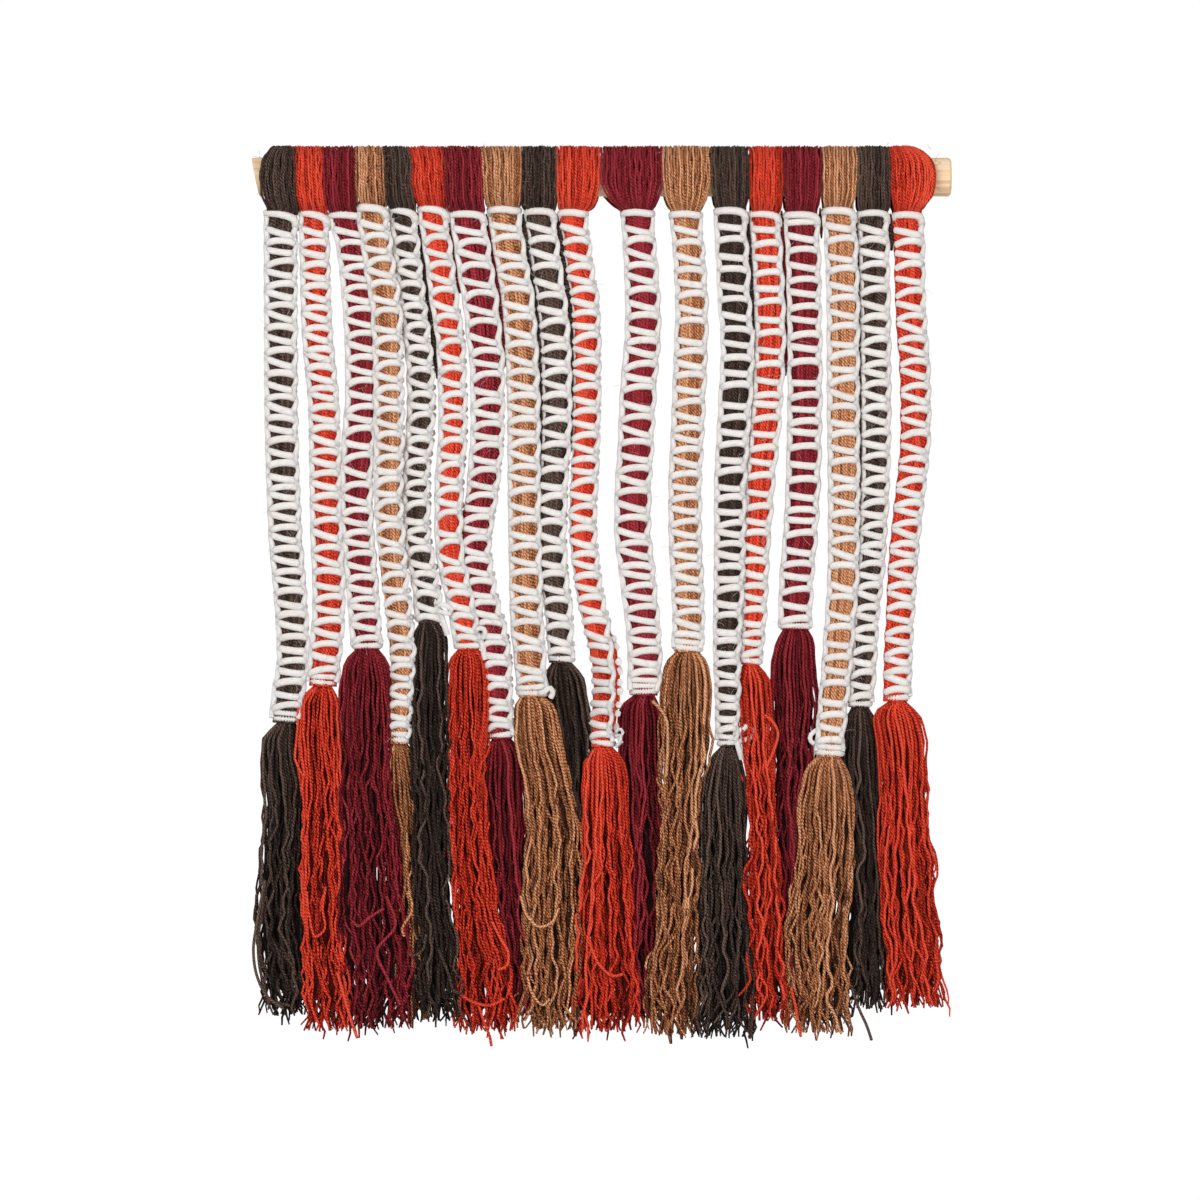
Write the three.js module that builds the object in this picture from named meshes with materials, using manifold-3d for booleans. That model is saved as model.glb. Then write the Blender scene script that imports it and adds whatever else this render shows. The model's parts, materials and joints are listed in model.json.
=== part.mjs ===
// Knotted yarn wall hanging. Eighteen hanks of yarn are folded over a wooden dowel. Below the dowel
// a white cord is knotted round each hank, with slanting bars across its front between two braided
// edges, and the free yarn ends hang below the last wrap as a tassel.
// Millimetres, +Z up, front towards -Y. The origin is on the dowel's axis at the middle of the work.
import * as THREE from "three";
import { mergeVertices } from "three/addons/utils/BufferGeometryUtils.js";
import Module from "manifold-3d";

const wasm = await Module();
wasm.setup();

// Dowel: 25 mm stock, its left end sawn a little askew.
const dowel = { radius: 12.7, left: -226, right: 229, skew: 2.6, bevel: 1.4, sides: 24 };

// Pieces that touch in the real thing keep this distance.
const gap = 0.3;

// Hank: the yarn over the dowel and the core that runs down inside the knotting.
const hank = {
  thickness: 6,
  boreSides: 10,
  roundedEdge: 2,
  neckZ: -20.5,
  neckInset: 1.5,
  neckDepth: 13,
  coreDepth: 8.4,
  coreClearance: 1.1,
};

// Knotting: the cord's sleeve round the core. A bar and the window under it repeat at about this pitch,
// which is twice that of the real cord's zigzags.
const knotting = {
  depth: 16,
  wall: 3.5,
  edge: 4,
  edgeRound: 3,
  pitch: 29,
  firstBar: 6,
  bar: 10.5,
  slant: 9,
  wrap: 9,
  wrapEdge: 2.6,
  clearance: 0.8,
};

// Tassel: locks of yarn in rows, one row behind the other. Neighbouring tassels hang in two layers.
const tassel = {
  layerY: 8.4,
  rowPitch: 5.1,
  columnPitch: 5.8,
  lockRadius: 3,
  tipRadius: 2.1,
  lockStray: 0.2,
  tipStray: 0.4,
  headHeight: 15,
  headShare: 0.8,
  headDepth: 13,
  rootRise: 3,
  rootRowPitch: 3,
  rootShare: 0.8,
  rootThinning: 0.5,
  flareDrop: 40,
  unevenEnd: 9,
};

// Neighbouring faces that are this near to one plane are joined.
const flatness = 0.25;

const yarns = {
  dark: "#3a302b",
  red: "#d23a22",
  burgundy: "#7a1a2c",
  tan: "#b5794a",
};
const cordColour = "#efebe6";
const pineColour = "#e8c890";
const colourOrder = ["dark", "red", "burgundy", "tan"];

// Heads on the dowel, left to right: the sides of each hank over the dowel and just below it.
const heads = [
  { left: -221.4, right: -200.7, lowLeft: -216.8, lowRight: -197.4 },
  { left: -200.7, right: -182.6, lowLeft: -197.0, lowRight: -179.3 },
  { left: -182.6, right: -160.5, lowLeft: -178.9, lowRight: -159.6 },
  { left: -160.5, right: -143.0, lowLeft: -159.2, lowRight: -139.8 },
  { left: -143.0, right: -126.5, lowLeft: -139.4, lowRight: -121.0 },
  { left: -126.5, right: -104.5, lowLeft: -120.6, lowRight: -101.5 },
  { left: -104.5, right: -79.1, lowLeft: -100.9, lowRight: -75.9 },
  { left: -79.1, right: -51.7, lowLeft: -75.5, lowRight: -52.4 },
  { left: -51.7, right: -28.8, lowLeft: -52.0, lowRight: -29.0 },
  { left: -28.8, right: -1.0, lowLeft: -28.6, lowRight: -8.9 },
  { left: 0.7, right: 39.4, lowLeft: 14.1, lowRight: 32.8 },
  { left: 39.8, right: 71.2, lowLeft: 45.2, lowRight: 65.5 },
  { left: 71.6, right: 96.5, lowLeft: 75.1, lowRight: 95.4 },
  { left: 96.9, right: 118.3, lowLeft: 98.1, lowRight: 117.9 },
  { left: 118.9, right: 143.8, lowLeft: 121.2, lowRight: 141.5 },
  { left: 144.4, right: 166.8, lowLeft: 145.7, lowRight: 164.3 },
  { left: 166.8, right: 188.4, lowLeft: 166.8, lowRight: 189.2 },
  { left: 188.4, right: 218.4, lowLeft: 191.3, lowRight: 209.4 },
];

// Knotted cords: the sleeve's width, the height at which the last wrap ends, the width of that wrap,
// and where the middle line lies at each height in lineZ.
const lineZ = [-22, -68, -107, -146, -185, -225, -264, -303, -343, -379];
const cords = [
  { width: 20.5, end: -356.5, wrapWidth: 14.5,
    line: [-209.5, -209.5, -209.5, -209.5, -208.5, -207, -204, -201.5, -205.5, -206.5] },
  { width: 18.0, end: -332.5, wrapWidth: 14.5,
    line: [-188, -187, -185.5, -181.5, -180.5, -180, -178, -179.5, -182.5, -182.5] },
  { width: 20.0, end: -308.5, wrapWidth: 17.0,
    line: [-168.5, -160, -156.5, -156, -159, -160, -156.5, -153.5, -153, -153] },
  { width: 17.0, end: -370.0, wrapWidth: 12.5,
    line: [-150, -143, -139, -138.5, -138.5, -138, -134.5, -130, -130.5, -131.5] },
  { width: 17.0, end: -291.5, wrapWidth: 16.0,
    line: [-129.5, -124.5, -119.5, -117, -120.5, -120.5, -114.5, -112.5, -112.5, -112.5] },
  { width: 18.0, end: -308.5, wrapWidth: 16.5,
    line: [-110, -104, -98, -96.5, -98, -99, -94.5, -87, -86.5, -86.5] },
  { width: 19.5, end: -367.0, wrapWidth: 15.0,
    line: [-88, -81, -76, -74, -75.5, -80, -78.5, -69, -66.5, -65] },
  { width: 22.0, end: -339.5, wrapWidth: 17.5,
    line: [-64, -57, -52.5, -51, -51, -50.5, -49.5, -47.5, -44.5, -44.5] },
  { width: 18.5, end: -317.0, wrapWidth: 15.0,
    line: [-40.5, -34, -29.5, -28.5, -30, -32, -30.5, -26, -25.5, -25.5] },
  { width: 17.0, end: -372.0, wrapWidth: 13.5,
    line: [-19, -12, -9, -9, -10, -12, -8.5, 0, 4.5, 1.5] },
  { width: 21.0, end: -338.5, wrapWidth: 16.0,
    line: [23.5, 26.5, 27.5, 24, 22.5, 20.5, 24, 28, 28, 28] },
  { width: 20.5, end: -310.0, wrapWidth: 16.5,
    line: [55, 58.5, 59, 57.5, 55.5, 55, 56.5, 56.5, 56.5, 56.5] },
  { width: 19.0, end: -372.0, wrapWidth: 12.5,
    line: [85, 87, 89.5, 88, 86, 85, 84.5, 83.5, 84, 83] },
  { width: 17.5, end: -318.5, wrapWidth: 12.5,
    line: [107, 110, 111, 109, 105.5, 102.5, 100.5, 99.5, 98, 98] },
  { width: 21.5, end: -295.5, wrapWidth: 18.0,
    line: [131, 132.5, 133.5, 133.5, 132.5, 131, 128, 127, 127, 127] },
  { width: 20.5, end: -378.5, wrapWidth: 16.0,
    line: [155, 158, 158.5, 158.5, 159, 159, 158.5, 155.5, 152, 149.5] },
  { width: 18.0, end: -346.5, wrapWidth: 14.0,
    line: [178, 179, 179.5, 180, 180, 178, 176, 172.5, 170, 169.5] },
  { width: 18.5, end: -342.5, wrapWidth: 14.0,
    line: [200.5, 202.5, 204, 206, 205, 200.5, 197, 195, 194, 194] },
];

// Tassels: the layer, the sides where the yarn flares out under the wrap, at midZ and at the bottom,
// and how low the longest lock hangs.
const midZ = -447;
const tassels = [
  { layer: "back", flare: [-221.5, -195.5], mid: [-222.5, -194.5], low: [-219, -190.5], bottom: -549 },
  { layer: "front", flare: [-197, -171.5], mid: [-194, -171.5], low: [-189, -168.5], bottom: -559 },
  { layer: "front", flare: [-169.5, -137.5], mid: [-170.5, -133.5], low: [-167.5, -127.5], bottom: -557 },
  { layer: "back", flare: [-144, -117], mid: [-144, -114], low: [-140, -112], bottom: -552 },
  { layer: "front", flare: [-121.5, -100.5], mid: [-120.5, -98.5], low: [-119.5, -93], bottom: -553 },
  { layer: "front", flare: [-99, -77.5], mid: [-97.5, -73.5], low: [-91.5, -60], bottom: -559 },
  { layer: "back", flare: [-77, -50.5], mid: [-74.5, -47.5], low: [-66, -40.5], bottom: -549 },
  { layer: "front", flare: [-54.5, -27], mid: [-49.5, -13.5], low: [-49.5, -18], bottom: -558 },
  { layer: "back", flare: [-33, -9], mid: [-33, -6], low: [-31.5, -6], bottom: -549 },
  { layer: "front", flare: [-10.5, 15.5], mid: [-12, 17.5], low: [-15, 21.5], bottom: -559 },
  { layer: "back", flare: [13, 39], mid: [15, 41.5], low: [16, 41.5], bottom: -551 },
  { layer: "front", flare: [40, 70], mid: [39.5, 64.5], low: [32.5, 61], bottom: -561 },
  { layer: "front", flare: [66.5, 93], mid: [65.5, 94.5], low: [62.5, 96.5], bottom: -563 },
  { layer: "front", flare: [93.5, 111.5], mid: [97, 116], low: [98, 119], bottom: -552 },
  { layer: "back", flare: [112, 139], mid: [112, 137], low: [111, 137], bottom: -546 },
  { layer: "front", flare: [134, 165], mid: [128.5, 163], low: [124.5, 158.5], bottom: -560 },
  { layer: "back", flare: [158.5, 182.5], mid: [160, 186], low: [159, 189.5], bottom: -545 },
  { layer: "front", flare: [184, 213], mid: [184, 217.5], low: [189.5, 222.5], bottom: -543 },
];

// A closed solid through rings that all have the same number of points, with flat caps. Its faces
// are turned outwards whichever way the rings run.
function skin(rings) {
  const sides = rings[0].length;
  const points = rings.flat();
  const faces = [];
  for (let level = 0; level + 1 < rings.length; level += 1) {
    for (let side = 0; side < sides; side += 1) {
      const a = level * sides + side;
      const b = level * sides + ((side + 1) % sides);
      faces.push(a, b, b + sides, a, b + sides, a + sides);
    }
  }
  const last = (rings.length - 1) * sides;
  for (let side = 1; side + 1 < sides; side += 1) {
    faces.push(0, side + 1, side);
    faces.push(last, last + side, last + side + 1);
  }
  const solid = solidFrom(points, faces);
  return solid.volume() > 0 ? solid : solidFrom(points, faces.toReversed());
}

function solidFrom(points, faces) {
  const geometry = new THREE.BufferGeometry();
  geometry.setAttribute("position", new THREE.Float32BufferAttribute(points.flatMap((p) => p.toArray()), 3));
  geometry.setIndex(faces);
  const merged = mergeVertices(geometry, 1e-4);
  return new wasm.Manifold(
    new wasm.Mesh({
      numProp: 3,
      vertProperties: merged.attributes.position.array,
      triVerts: new Uint32Array(merged.index.array),
    }),
  );
}

function meshFrom(name, solid, colour, roughness) {
  const data = solid.getMesh();
  const geometry = new THREE.BufferGeometry();
  geometry.setAttribute("position", new THREE.BufferAttribute(data.vertProperties, 3));
  geometry.setIndex(new THREE.BufferAttribute(data.triVerts, 1));
  geometry.computeVertexNormals();
  const material = new THREE.MeshStandardMaterial({ color: colour, roughness, metalness: 0 });
  const mesh = new THREE.Mesh(geometry, material);
  mesh.name = name;
  return mesh;
}

const at = (x, y, z) => new THREE.Vector3(x, y, z);
const numbered = (name, index) => `${name}_${String(index + 1).padStart(2, "0")}`;

// Straight interpolation in a falling list of heights.
function valueAt(z, heights, values) {
  let step = 0;
  while (step + 2 < heights.length && z < heights[step + 1]) {
    step += 1;
  }
  const share = THREE.MathUtils.clamp((z - heights[step]) / (heights[step + 1] - heights[step]), 0, 1);
  return THREE.MathUtils.lerp(values[step], values[step + 1], share);
}

// Eight points round a flattened bundle of yarn: a box with cut corners.
function bundleRing(x, y, z, halfWidth, halfDepth) {
  const cut = 0.45;
  const corners = [
    [1, -cut],
    [1, cut],
    [cut, 1],
    [-cut, 1],
    [-1, cut],
    [-1, -cut],
    [-cut, -1],
    [cut, -1],
  ];
  return corners.map(([across, deep]) => at(x + across * halfWidth, y + deep * halfDepth, z));
}

function makeDowel() {
  const ring = (x, radius, skew) =>
    Array.from({ length: dowel.sides }, (_, side) => {
      const turn = (2 * Math.PI * side) / dowel.sides;
      const up = Math.cos(turn);
      return at(x - skew * up, -radius * Math.sin(turn), radius * up);
    });
  return skin([
    ring(dowel.left, dowel.radius, dowel.skew),
    ring(dowel.right - dowel.bevel, dowel.radius, 0),
    ring(dowel.right, dowel.radius - dowel.bevel, 0),
  ]);
}

// The sleeve's half width: full along its length, drawn in at the last wrap, and narrower where a
// neighbour presses on it.
function halfWidthAt(cord, z) {
  const free = drawnIn(cord, z, cord.width, cord.wrapWidth) / 2;
  const middle = valueAt(z, lineZ, cord.line);
  const pressed = cords
    .filter((other) => other !== cord)
    .map((other) => (Math.abs(valueAt(z, lineZ, other.line) - middle) - knotting.clearance) / 2);
  return Math.min(free, ...pressed);
}

// The half width between the sleeve's two edges.
function insideHalfWidth(cord, z) {
  return halfWidthAt(cord, z) - drawnIn(cord, z, knotting.edge, knotting.wrapEdge);
}

// A size that changes from the sleeve's to the last wrap's, just above that wrap.
function drawnIn(cord, z, alongSleeve, atWrap) {
  const heights = [cord.end + 3 * knotting.wrap, cord.end + knotting.wrap];
  return valueAt(z, heights, [alongSleeve, atWrap]);
}

// The yarn folded over the dowel, with its core below. The loop's two sides are rounded by a smaller
// ring beyond each full one.
function makeHank(head, cord) {
  const outer = dowel.radius + gap + hank.thickness;
  const profile = [];
  for (let degrees = -30; degrees <= 210; degrees += 30) {
    const turn = THREE.MathUtils.degToRad(degrees);
    profile.push({ y: -outer * Math.cos(turn), z: outer * Math.sin(turn) });
  }
  profile.push({ y: hank.neckDepth / 2, z: hank.neckZ });
  profile.push({ y: -hank.neckDepth / 2, z: hank.neckZ });

  const middle = cord.line[0];
  const neckHalf = halfWidthAt(cord, lineZ[0]) - hank.neckInset;
  const heights = [0, hank.neckZ / 2, hank.neckZ];
  const sides = [
    { direction: -1, edge: [head.left + gap / 2, head.lowLeft + gap / 2, middle - neckHalf] },
    { direction: 1, edge: [head.right - gap / 2, head.lowRight - gap / 2, middle + neckHalf] },
  ];
  const ring = ({ direction, edge }, inset) =>
    profile.map(({ y, z }) => {
      const rounding = z > hank.neckZ ? hank.roundedEdge - inset : 0;
      const shrink = 1 - inset / outer;
      return at(valueAt(z, heights, edge) - direction * rounding, y * shrink, z * shrink);
    });
  const [leftSide, rightSide] = sides;
  const loop = skin([
    ring(leftSide, hank.roundedEdge),
    ring(leftSide, 0),
    ring(rightSide, 0),
    ring(rightSide, hank.roundedEdge),
  ]);
  return loop.subtract(makeBore(head)).add(makeCore(cord)).simplify(flatness);
}

// The space that the dowel takes in a hank, a little longer than the hank is wide.
function makeBore(head) {
  const radius = (dowel.radius + gap) / Math.cos(Math.PI / hank.boreSides);
  const ends = [head.left - dowel.radius, head.right + dowel.radius];
  return skin(
    ends.map((x) =>
      Array.from({ length: hank.boreSides }, (_, side) => {
        const turn = (2 * Math.PI * (side + 0.5)) / hank.boreSides;
        return at(x, -radius * Math.sin(turn), radius * Math.cos(turn));
      }),
    ),
  );
}

// The core hangs inside the knotting, from the neck to the last wrap.
function makeCore(cord) {
  const bottom = cord.end + knotting.wrap / 2;
  const narrowing = cord.end + 3 * knotting.wrap;
  const bends = lineZ.filter((z) => z > narrowing && z < lineZ[0]);
  const levels = [hank.neckZ + 1, ...bends, narrowing, cord.end + knotting.wrap, bottom];
  return skin(
    levels.map((z) => {
      const halfWidth = insideHalfWidth(cord, z) - hank.coreClearance;
      return bundleRing(valueAt(z, lineZ, cord.line), 0, z, halfWidth, hank.coreDepth / 2);
    }),
  );
}

// The sleeve of knotted cord: two edges and a back, with bars across the front and a window between
// each two bars. The bars slant by turns to the left and to the right.
function makeKnotting(cord) {
  const top = lineZ[0] + gap;
  const windows = Math.round((top - cord.end - knotting.wrap) / knotting.pitch);
  const step = (top - cord.end - (knotting.firstBar + knotting.wrap) / 2) / windows;
  const rows = [];
  for (let bar = 0; bar <= windows; bar += 1) {
    let height = knotting.bar;
    let slant = ((bar % 2) * 2 - 1) * knotting.slant;
    if (bar === 0 || bar === windows) {
      height = bar === 0 ? knotting.firstBar : knotting.wrap;
      slant = 0;
    }
    const centre = top - knotting.firstBar / 2 - bar * step;
    const leftZ = centre + slant / 2;
    const rightZ = centre - slant / 2;
    rows.push({ leftZ: leftZ + height / 2, rightZ: rightZ + height / 2 });
    rows.push({ leftZ: leftZ - height / 2, rightZ: rightZ - height / 2 });
  }
  const points = [];
  rows.forEach(({ leftZ, rightZ }) => points.push(...sleevePoints(cord, leftZ, rightZ)));

  const faces = [];
  const quad = (a, b, c, d) => faces.push(a, b, c, a, c, d);
  const strip = (upper, lower, pairs) =>
    pairs.forEach(([from, to]) => quad(lower + from, lower + to, upper + to, upper + from));
  const [outLeftFront, inLeftFront, inRightFront, outRightFront, outRightBack] = [0, 1, 2, 3, 4];
  const [outLeftBack, leftBehindBar, inLeftBack, inRightBack, rightBehindBar] = [5, 6, 7, 8, 9];
  const corners = 10;
  const shell = [
    [outLeftFront, inLeftFront],
    [inRightFront, outRightFront],
    [outRightFront, outRightBack],
    [outRightBack, outLeftBack],
    [outLeftBack, outLeftFront],
    [leftBehindBar, inLeftBack],
    [inLeftBack, inRightBack],
    [inRightBack, rightBehindBar],
  ];
  const barFaces = [
    [inLeftFront, inRightFront],
    [rightBehindBar, leftBehindBar],
  ];
  const windowSides = [
    [inLeftFront, leftBehindBar],
    [rightBehindBar, inRightFront],
  ];
  for (let row = 0; row + 1 < rows.length; row += 1) {
    const upper = row * corners;
    const lower = upper + corners;
    const isBar = row % 2 === 0;
    strip(upper, lower, shell);
    strip(upper, lower, isBar ? barFaces : windowSides);
    if (isBar) {
      quad(upper + inLeftFront, upper + inRightFront, upper + rightBehindBar, upper + leftBehindBar);
      quad(lower + leftBehindBar, lower + rightBehindBar, lower + inRightFront, lower + inLeftFront);
    }
  }
  const rim = [
    [outLeftFront, inLeftFront, leftBehindBar],
    [outLeftFront, leftBehindBar, inLeftBack],
    [outLeftFront, inLeftBack, outLeftBack],
    [outRightFront, outRightBack, inRightBack],
    [outRightFront, inRightBack, rightBehindBar],
    [outRightFront, rightBehindBar, inRightFront],
    [inLeftBack, inRightBack, outRightBack],
    [inLeftBack, outRightBack, outLeftBack],
  ];
  const last = (rows.length - 1) * corners;
  rim.forEach(([a, b, c]) => {
    faces.push(a, b, c);
    faces.push(last + a, last + c, last + b);
  });
  return solidFrom(points, faces).simplify(flatness);
}

// Ten points round the sleeve at one height on its left side and one on its right.
function sleevePoints(cord, leftZ, rightZ) {
  const front = -knotting.depth / 2;
  const back = knotting.depth / 2;
  const side = (direction, z) => {
    const middle = valueAt(z, lineZ, cord.line);
    const outer = middle + direction * halfWidthAt(cord, z);
    const inner = middle + direction * insideHalfWidth(cord, z);
    return {
      outFront: at(outer, front + knotting.edgeRound, z),
      outBack: at(outer, back, z),
      inFront: at(inner, front, z),
      behindBar: at(inner, front + knotting.wall, z),
      inBack: at(inner, back - knotting.wall, z),
    };
  };
  const left = side(-1, leftZ);
  const right = side(1, rightZ);
  return [
    left.outFront,
    left.inFront,
    right.inFront,
    right.outFront,
    right.outBack,
    left.outBack,
    left.behindBar,
    left.inBack,
    right.inBack,
    right.behindBar,
  ];
}

// The tassel's head sits in the last wrap, and its locks hang from the head.
function makeTassel(cord, shape, index) {
  const layerY = shape.layer === "front" ? -tassel.layerY : tassel.layerY;
  const middle = valueAt(cord.end, lineZ, cord.line);
  const insideWrap = insideHalfWidth(cord, cord.end) - hank.coreClearance;
  const headBottom = cord.end - tassel.headHeight;
  const flareHalf = (shape.flare[1] - shape.flare[0]) / 2;
  const flareMiddle = (shape.flare[1] + shape.flare[0]) / 2;
  const headHalf = flareHalf * tassel.headShare;
  const headMiddle = THREE.MathUtils.lerp(middle, flareMiddle, 0.5);
  const head = skin([
    bundleRing(headMiddle, layerY / 2, headBottom, headHalf, tassel.headDepth / 2),
    bundleRing(middle, 0, cord.end - gap, insideWrap, hank.coreDepth / 2),
    bundleRing(middle, 0, cord.end + knotting.wrap / 2 - gap, insideWrap, hank.coreDepth / 2),
  ]);

  const widths = [shape.flare, shape.mid, shape.low].map(([left, right]) => right - left);
  const columns = Math.round(Math.min(...widths) / tassel.columnPitch);
  const radius = Math.min(tassel.lockRadius, (Math.min(...widths) / columns - gap) / Math.sqrt(3));
  const flareZ = cord.end - tassel.flareDrop;
  let solid = head;
  [-1, 0, 1].forEach((row) => {
    const count = row === 0 ? columns : columns - 1;
    for (let lock = 0; lock < count; lock += 1) {
      const across = (lock + 0.5 + (columns - count) / 2) / columns;
      const seed = index * 50 + (row + 1) * 10 + lock;
      const y = layerY + row * tassel.rowPitch;
      const place = ([left, right], z, stray) =>
        at(THREE.MathUtils.lerp(left, right, across) + stray * scatter(seed + z), y, z);
      const rootX = headMiddle + (across - 0.5) * 2 * headHalf * tassel.rootShare;
      const root = at(rootX, layerY / 2 + row * tassel.rootRowPitch, headBottom + tassel.rootRise);
      const tipZ = shape.bottom + tassel.unevenEnd * (1 + scatter(seed));
      const path = [
        { point: place(shape.low, tipZ, tassel.tipStray), radius: tassel.tipRadius },
        { point: place(shape.mid, midZ, tassel.lockStray), radius },
        { point: place(shape.flare, flareZ, 0), radius },
        { point: root, radius: radius * tassel.rootThinning },
      ];
      solid = solid.add(makeLock(path, row));
    }
  });
  return solid;
}

// A lock of yarn with three sides, through rings that lie level.
function makeLock(path, row) {
  const turned = row === 0 ? 0 : Math.PI;
  return skin(
    path.map(({ point, radius }) =>
      [0, 1, 2].map((side) => {
        const turn = turned + Math.PI / 2 - (side * 2 * Math.PI) / 3;
        return at(point.x + radius * Math.cos(turn), point.y + radius * Math.sin(turn), point.z);
      }),
    ),
  );
}

// A repeatable number from -1 to 1.
function scatter(seed) {
  const wave = Math.sin(seed * 12.9898) * 43758.5453;
  return 2 * (wave - Math.floor(wave)) - 1;
}

const wallHanging = new THREE.Group();
wallHanging.add(meshFrom("dowel", makeDowel(), pineColour, 0.55));
cords.forEach((cord, index) => {
  const yarn = yarns[colourOrder[index % colourOrder.length]];
  wallHanging.add(meshFrom(numbered("hank", index), makeHank(heads[index], cord), yarn, 0.95));
  wallHanging.add(meshFrom(numbered("knotting", index), makeKnotting(cord), cordColour, 0.95));
  wallHanging.add(meshFrom(numbered("tassel", index), makeTassel(cord, tassels[index], index), yarn, 0.95));
});

export default wallHanging;
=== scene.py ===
# Knotted yarn wall hanging: yarn hanks folded over a pine dowel, bound in white cord, with long tassels.
# Sizes are in millimetres and turned to metres once, where the meshes are made. Front is -Y.
import json
import math
import bpy
import numpy as np
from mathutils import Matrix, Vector

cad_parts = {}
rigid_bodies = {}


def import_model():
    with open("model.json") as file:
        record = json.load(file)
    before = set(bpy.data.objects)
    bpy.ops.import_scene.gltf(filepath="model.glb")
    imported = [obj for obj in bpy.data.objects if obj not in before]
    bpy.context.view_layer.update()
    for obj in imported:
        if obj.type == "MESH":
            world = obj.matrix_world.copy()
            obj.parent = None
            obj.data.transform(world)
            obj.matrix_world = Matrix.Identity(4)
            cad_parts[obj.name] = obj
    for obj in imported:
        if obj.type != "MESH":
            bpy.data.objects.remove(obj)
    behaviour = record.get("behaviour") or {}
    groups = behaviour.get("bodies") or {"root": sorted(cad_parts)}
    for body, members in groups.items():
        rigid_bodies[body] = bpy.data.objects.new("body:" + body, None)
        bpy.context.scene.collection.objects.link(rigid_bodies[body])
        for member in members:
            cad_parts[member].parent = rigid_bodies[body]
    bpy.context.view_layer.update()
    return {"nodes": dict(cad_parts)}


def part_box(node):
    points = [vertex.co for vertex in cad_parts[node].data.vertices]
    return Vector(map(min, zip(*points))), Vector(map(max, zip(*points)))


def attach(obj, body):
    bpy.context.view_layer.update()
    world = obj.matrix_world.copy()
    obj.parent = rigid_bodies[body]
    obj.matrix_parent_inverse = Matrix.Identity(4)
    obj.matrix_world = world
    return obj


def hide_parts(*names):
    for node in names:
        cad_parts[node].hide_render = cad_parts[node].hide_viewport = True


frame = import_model()
mm = 0.001
scene = bpy.context.scene
print("frame loaded:", len(frame["nodes"]), "nodes")


def aim(item, place, target):
    item.location = place
    item.rotation_euler = (Vector(target) - Vector(place)).to_track_quat("-Z", "Y").to_euler()
    scene.collection.objects.link(item)


# The photograph is taken straight on: 1200 pixels cover 786 mm at the dowel.
cameraSet = {"distance": 3000, "centreX": -0.65, "centreZ": -277, "span": 786, "sensor": 36}
cameraData = bpy.data.cameras.new("camera")
cameraData.sensor_width = cameraSet["sensor"]
cameraData.lens = cameraSet["sensor"] * cameraSet["distance"] / cameraSet["span"]
camera = bpy.data.objects.new("camera", cameraData)
middle = (cameraSet["centreX"] * mm, 0, cameraSet["centreZ"] * mm)
aim(camera, (middle[0], -cameraSet["distance"] * mm, middle[2]), middle)
scene.camera = camera
scene.view_settings.view_transform = "Standard"
scene.view_settings.look = "None"

# The strands, left to right, in mm. Their yarn is dark, red, burgundy and tan by turns.
# Each table's rows start with a height and run downwards.
# wraps and wrapWidth: how many last wraps the cord makes and how wide they are. lift: how far back it hangs.
# corner: how far a lower bar's left end turns down. flare: how much thicker the bars' left ends are.
# wave: how much the edge cords swell. firstFall: how far the first wrap falls to the right. firstTurn: how
# far its right end turns down, as a share. firstBand: how far under it a second wrap lies.
# head: left and right side of the hank on top of the dowel, in front of it and below it.
# line: middle of the knotted cord. width: its width. turn: degrees that it is twisted to show its right side.
# leftSeen: how much of the left edge cord shows. wide: how much taller one window is. touch: on which side
# another strand closes in, from which height and down to which.
# pattern: pitch of the pairs of bars, how open a pair is at its left and right end, its fall to the right.
# tassel: left and right side.
edgeShown = 3.4
plainStrand = {"lift": 0, "flare": 0, "wave": 1, "firstTurn": 1, "firstBand": 0, "turn": [(0, 0)],
               "leftSeen": [(0, edgeShown)], "wide": [], "touch": []}
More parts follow.
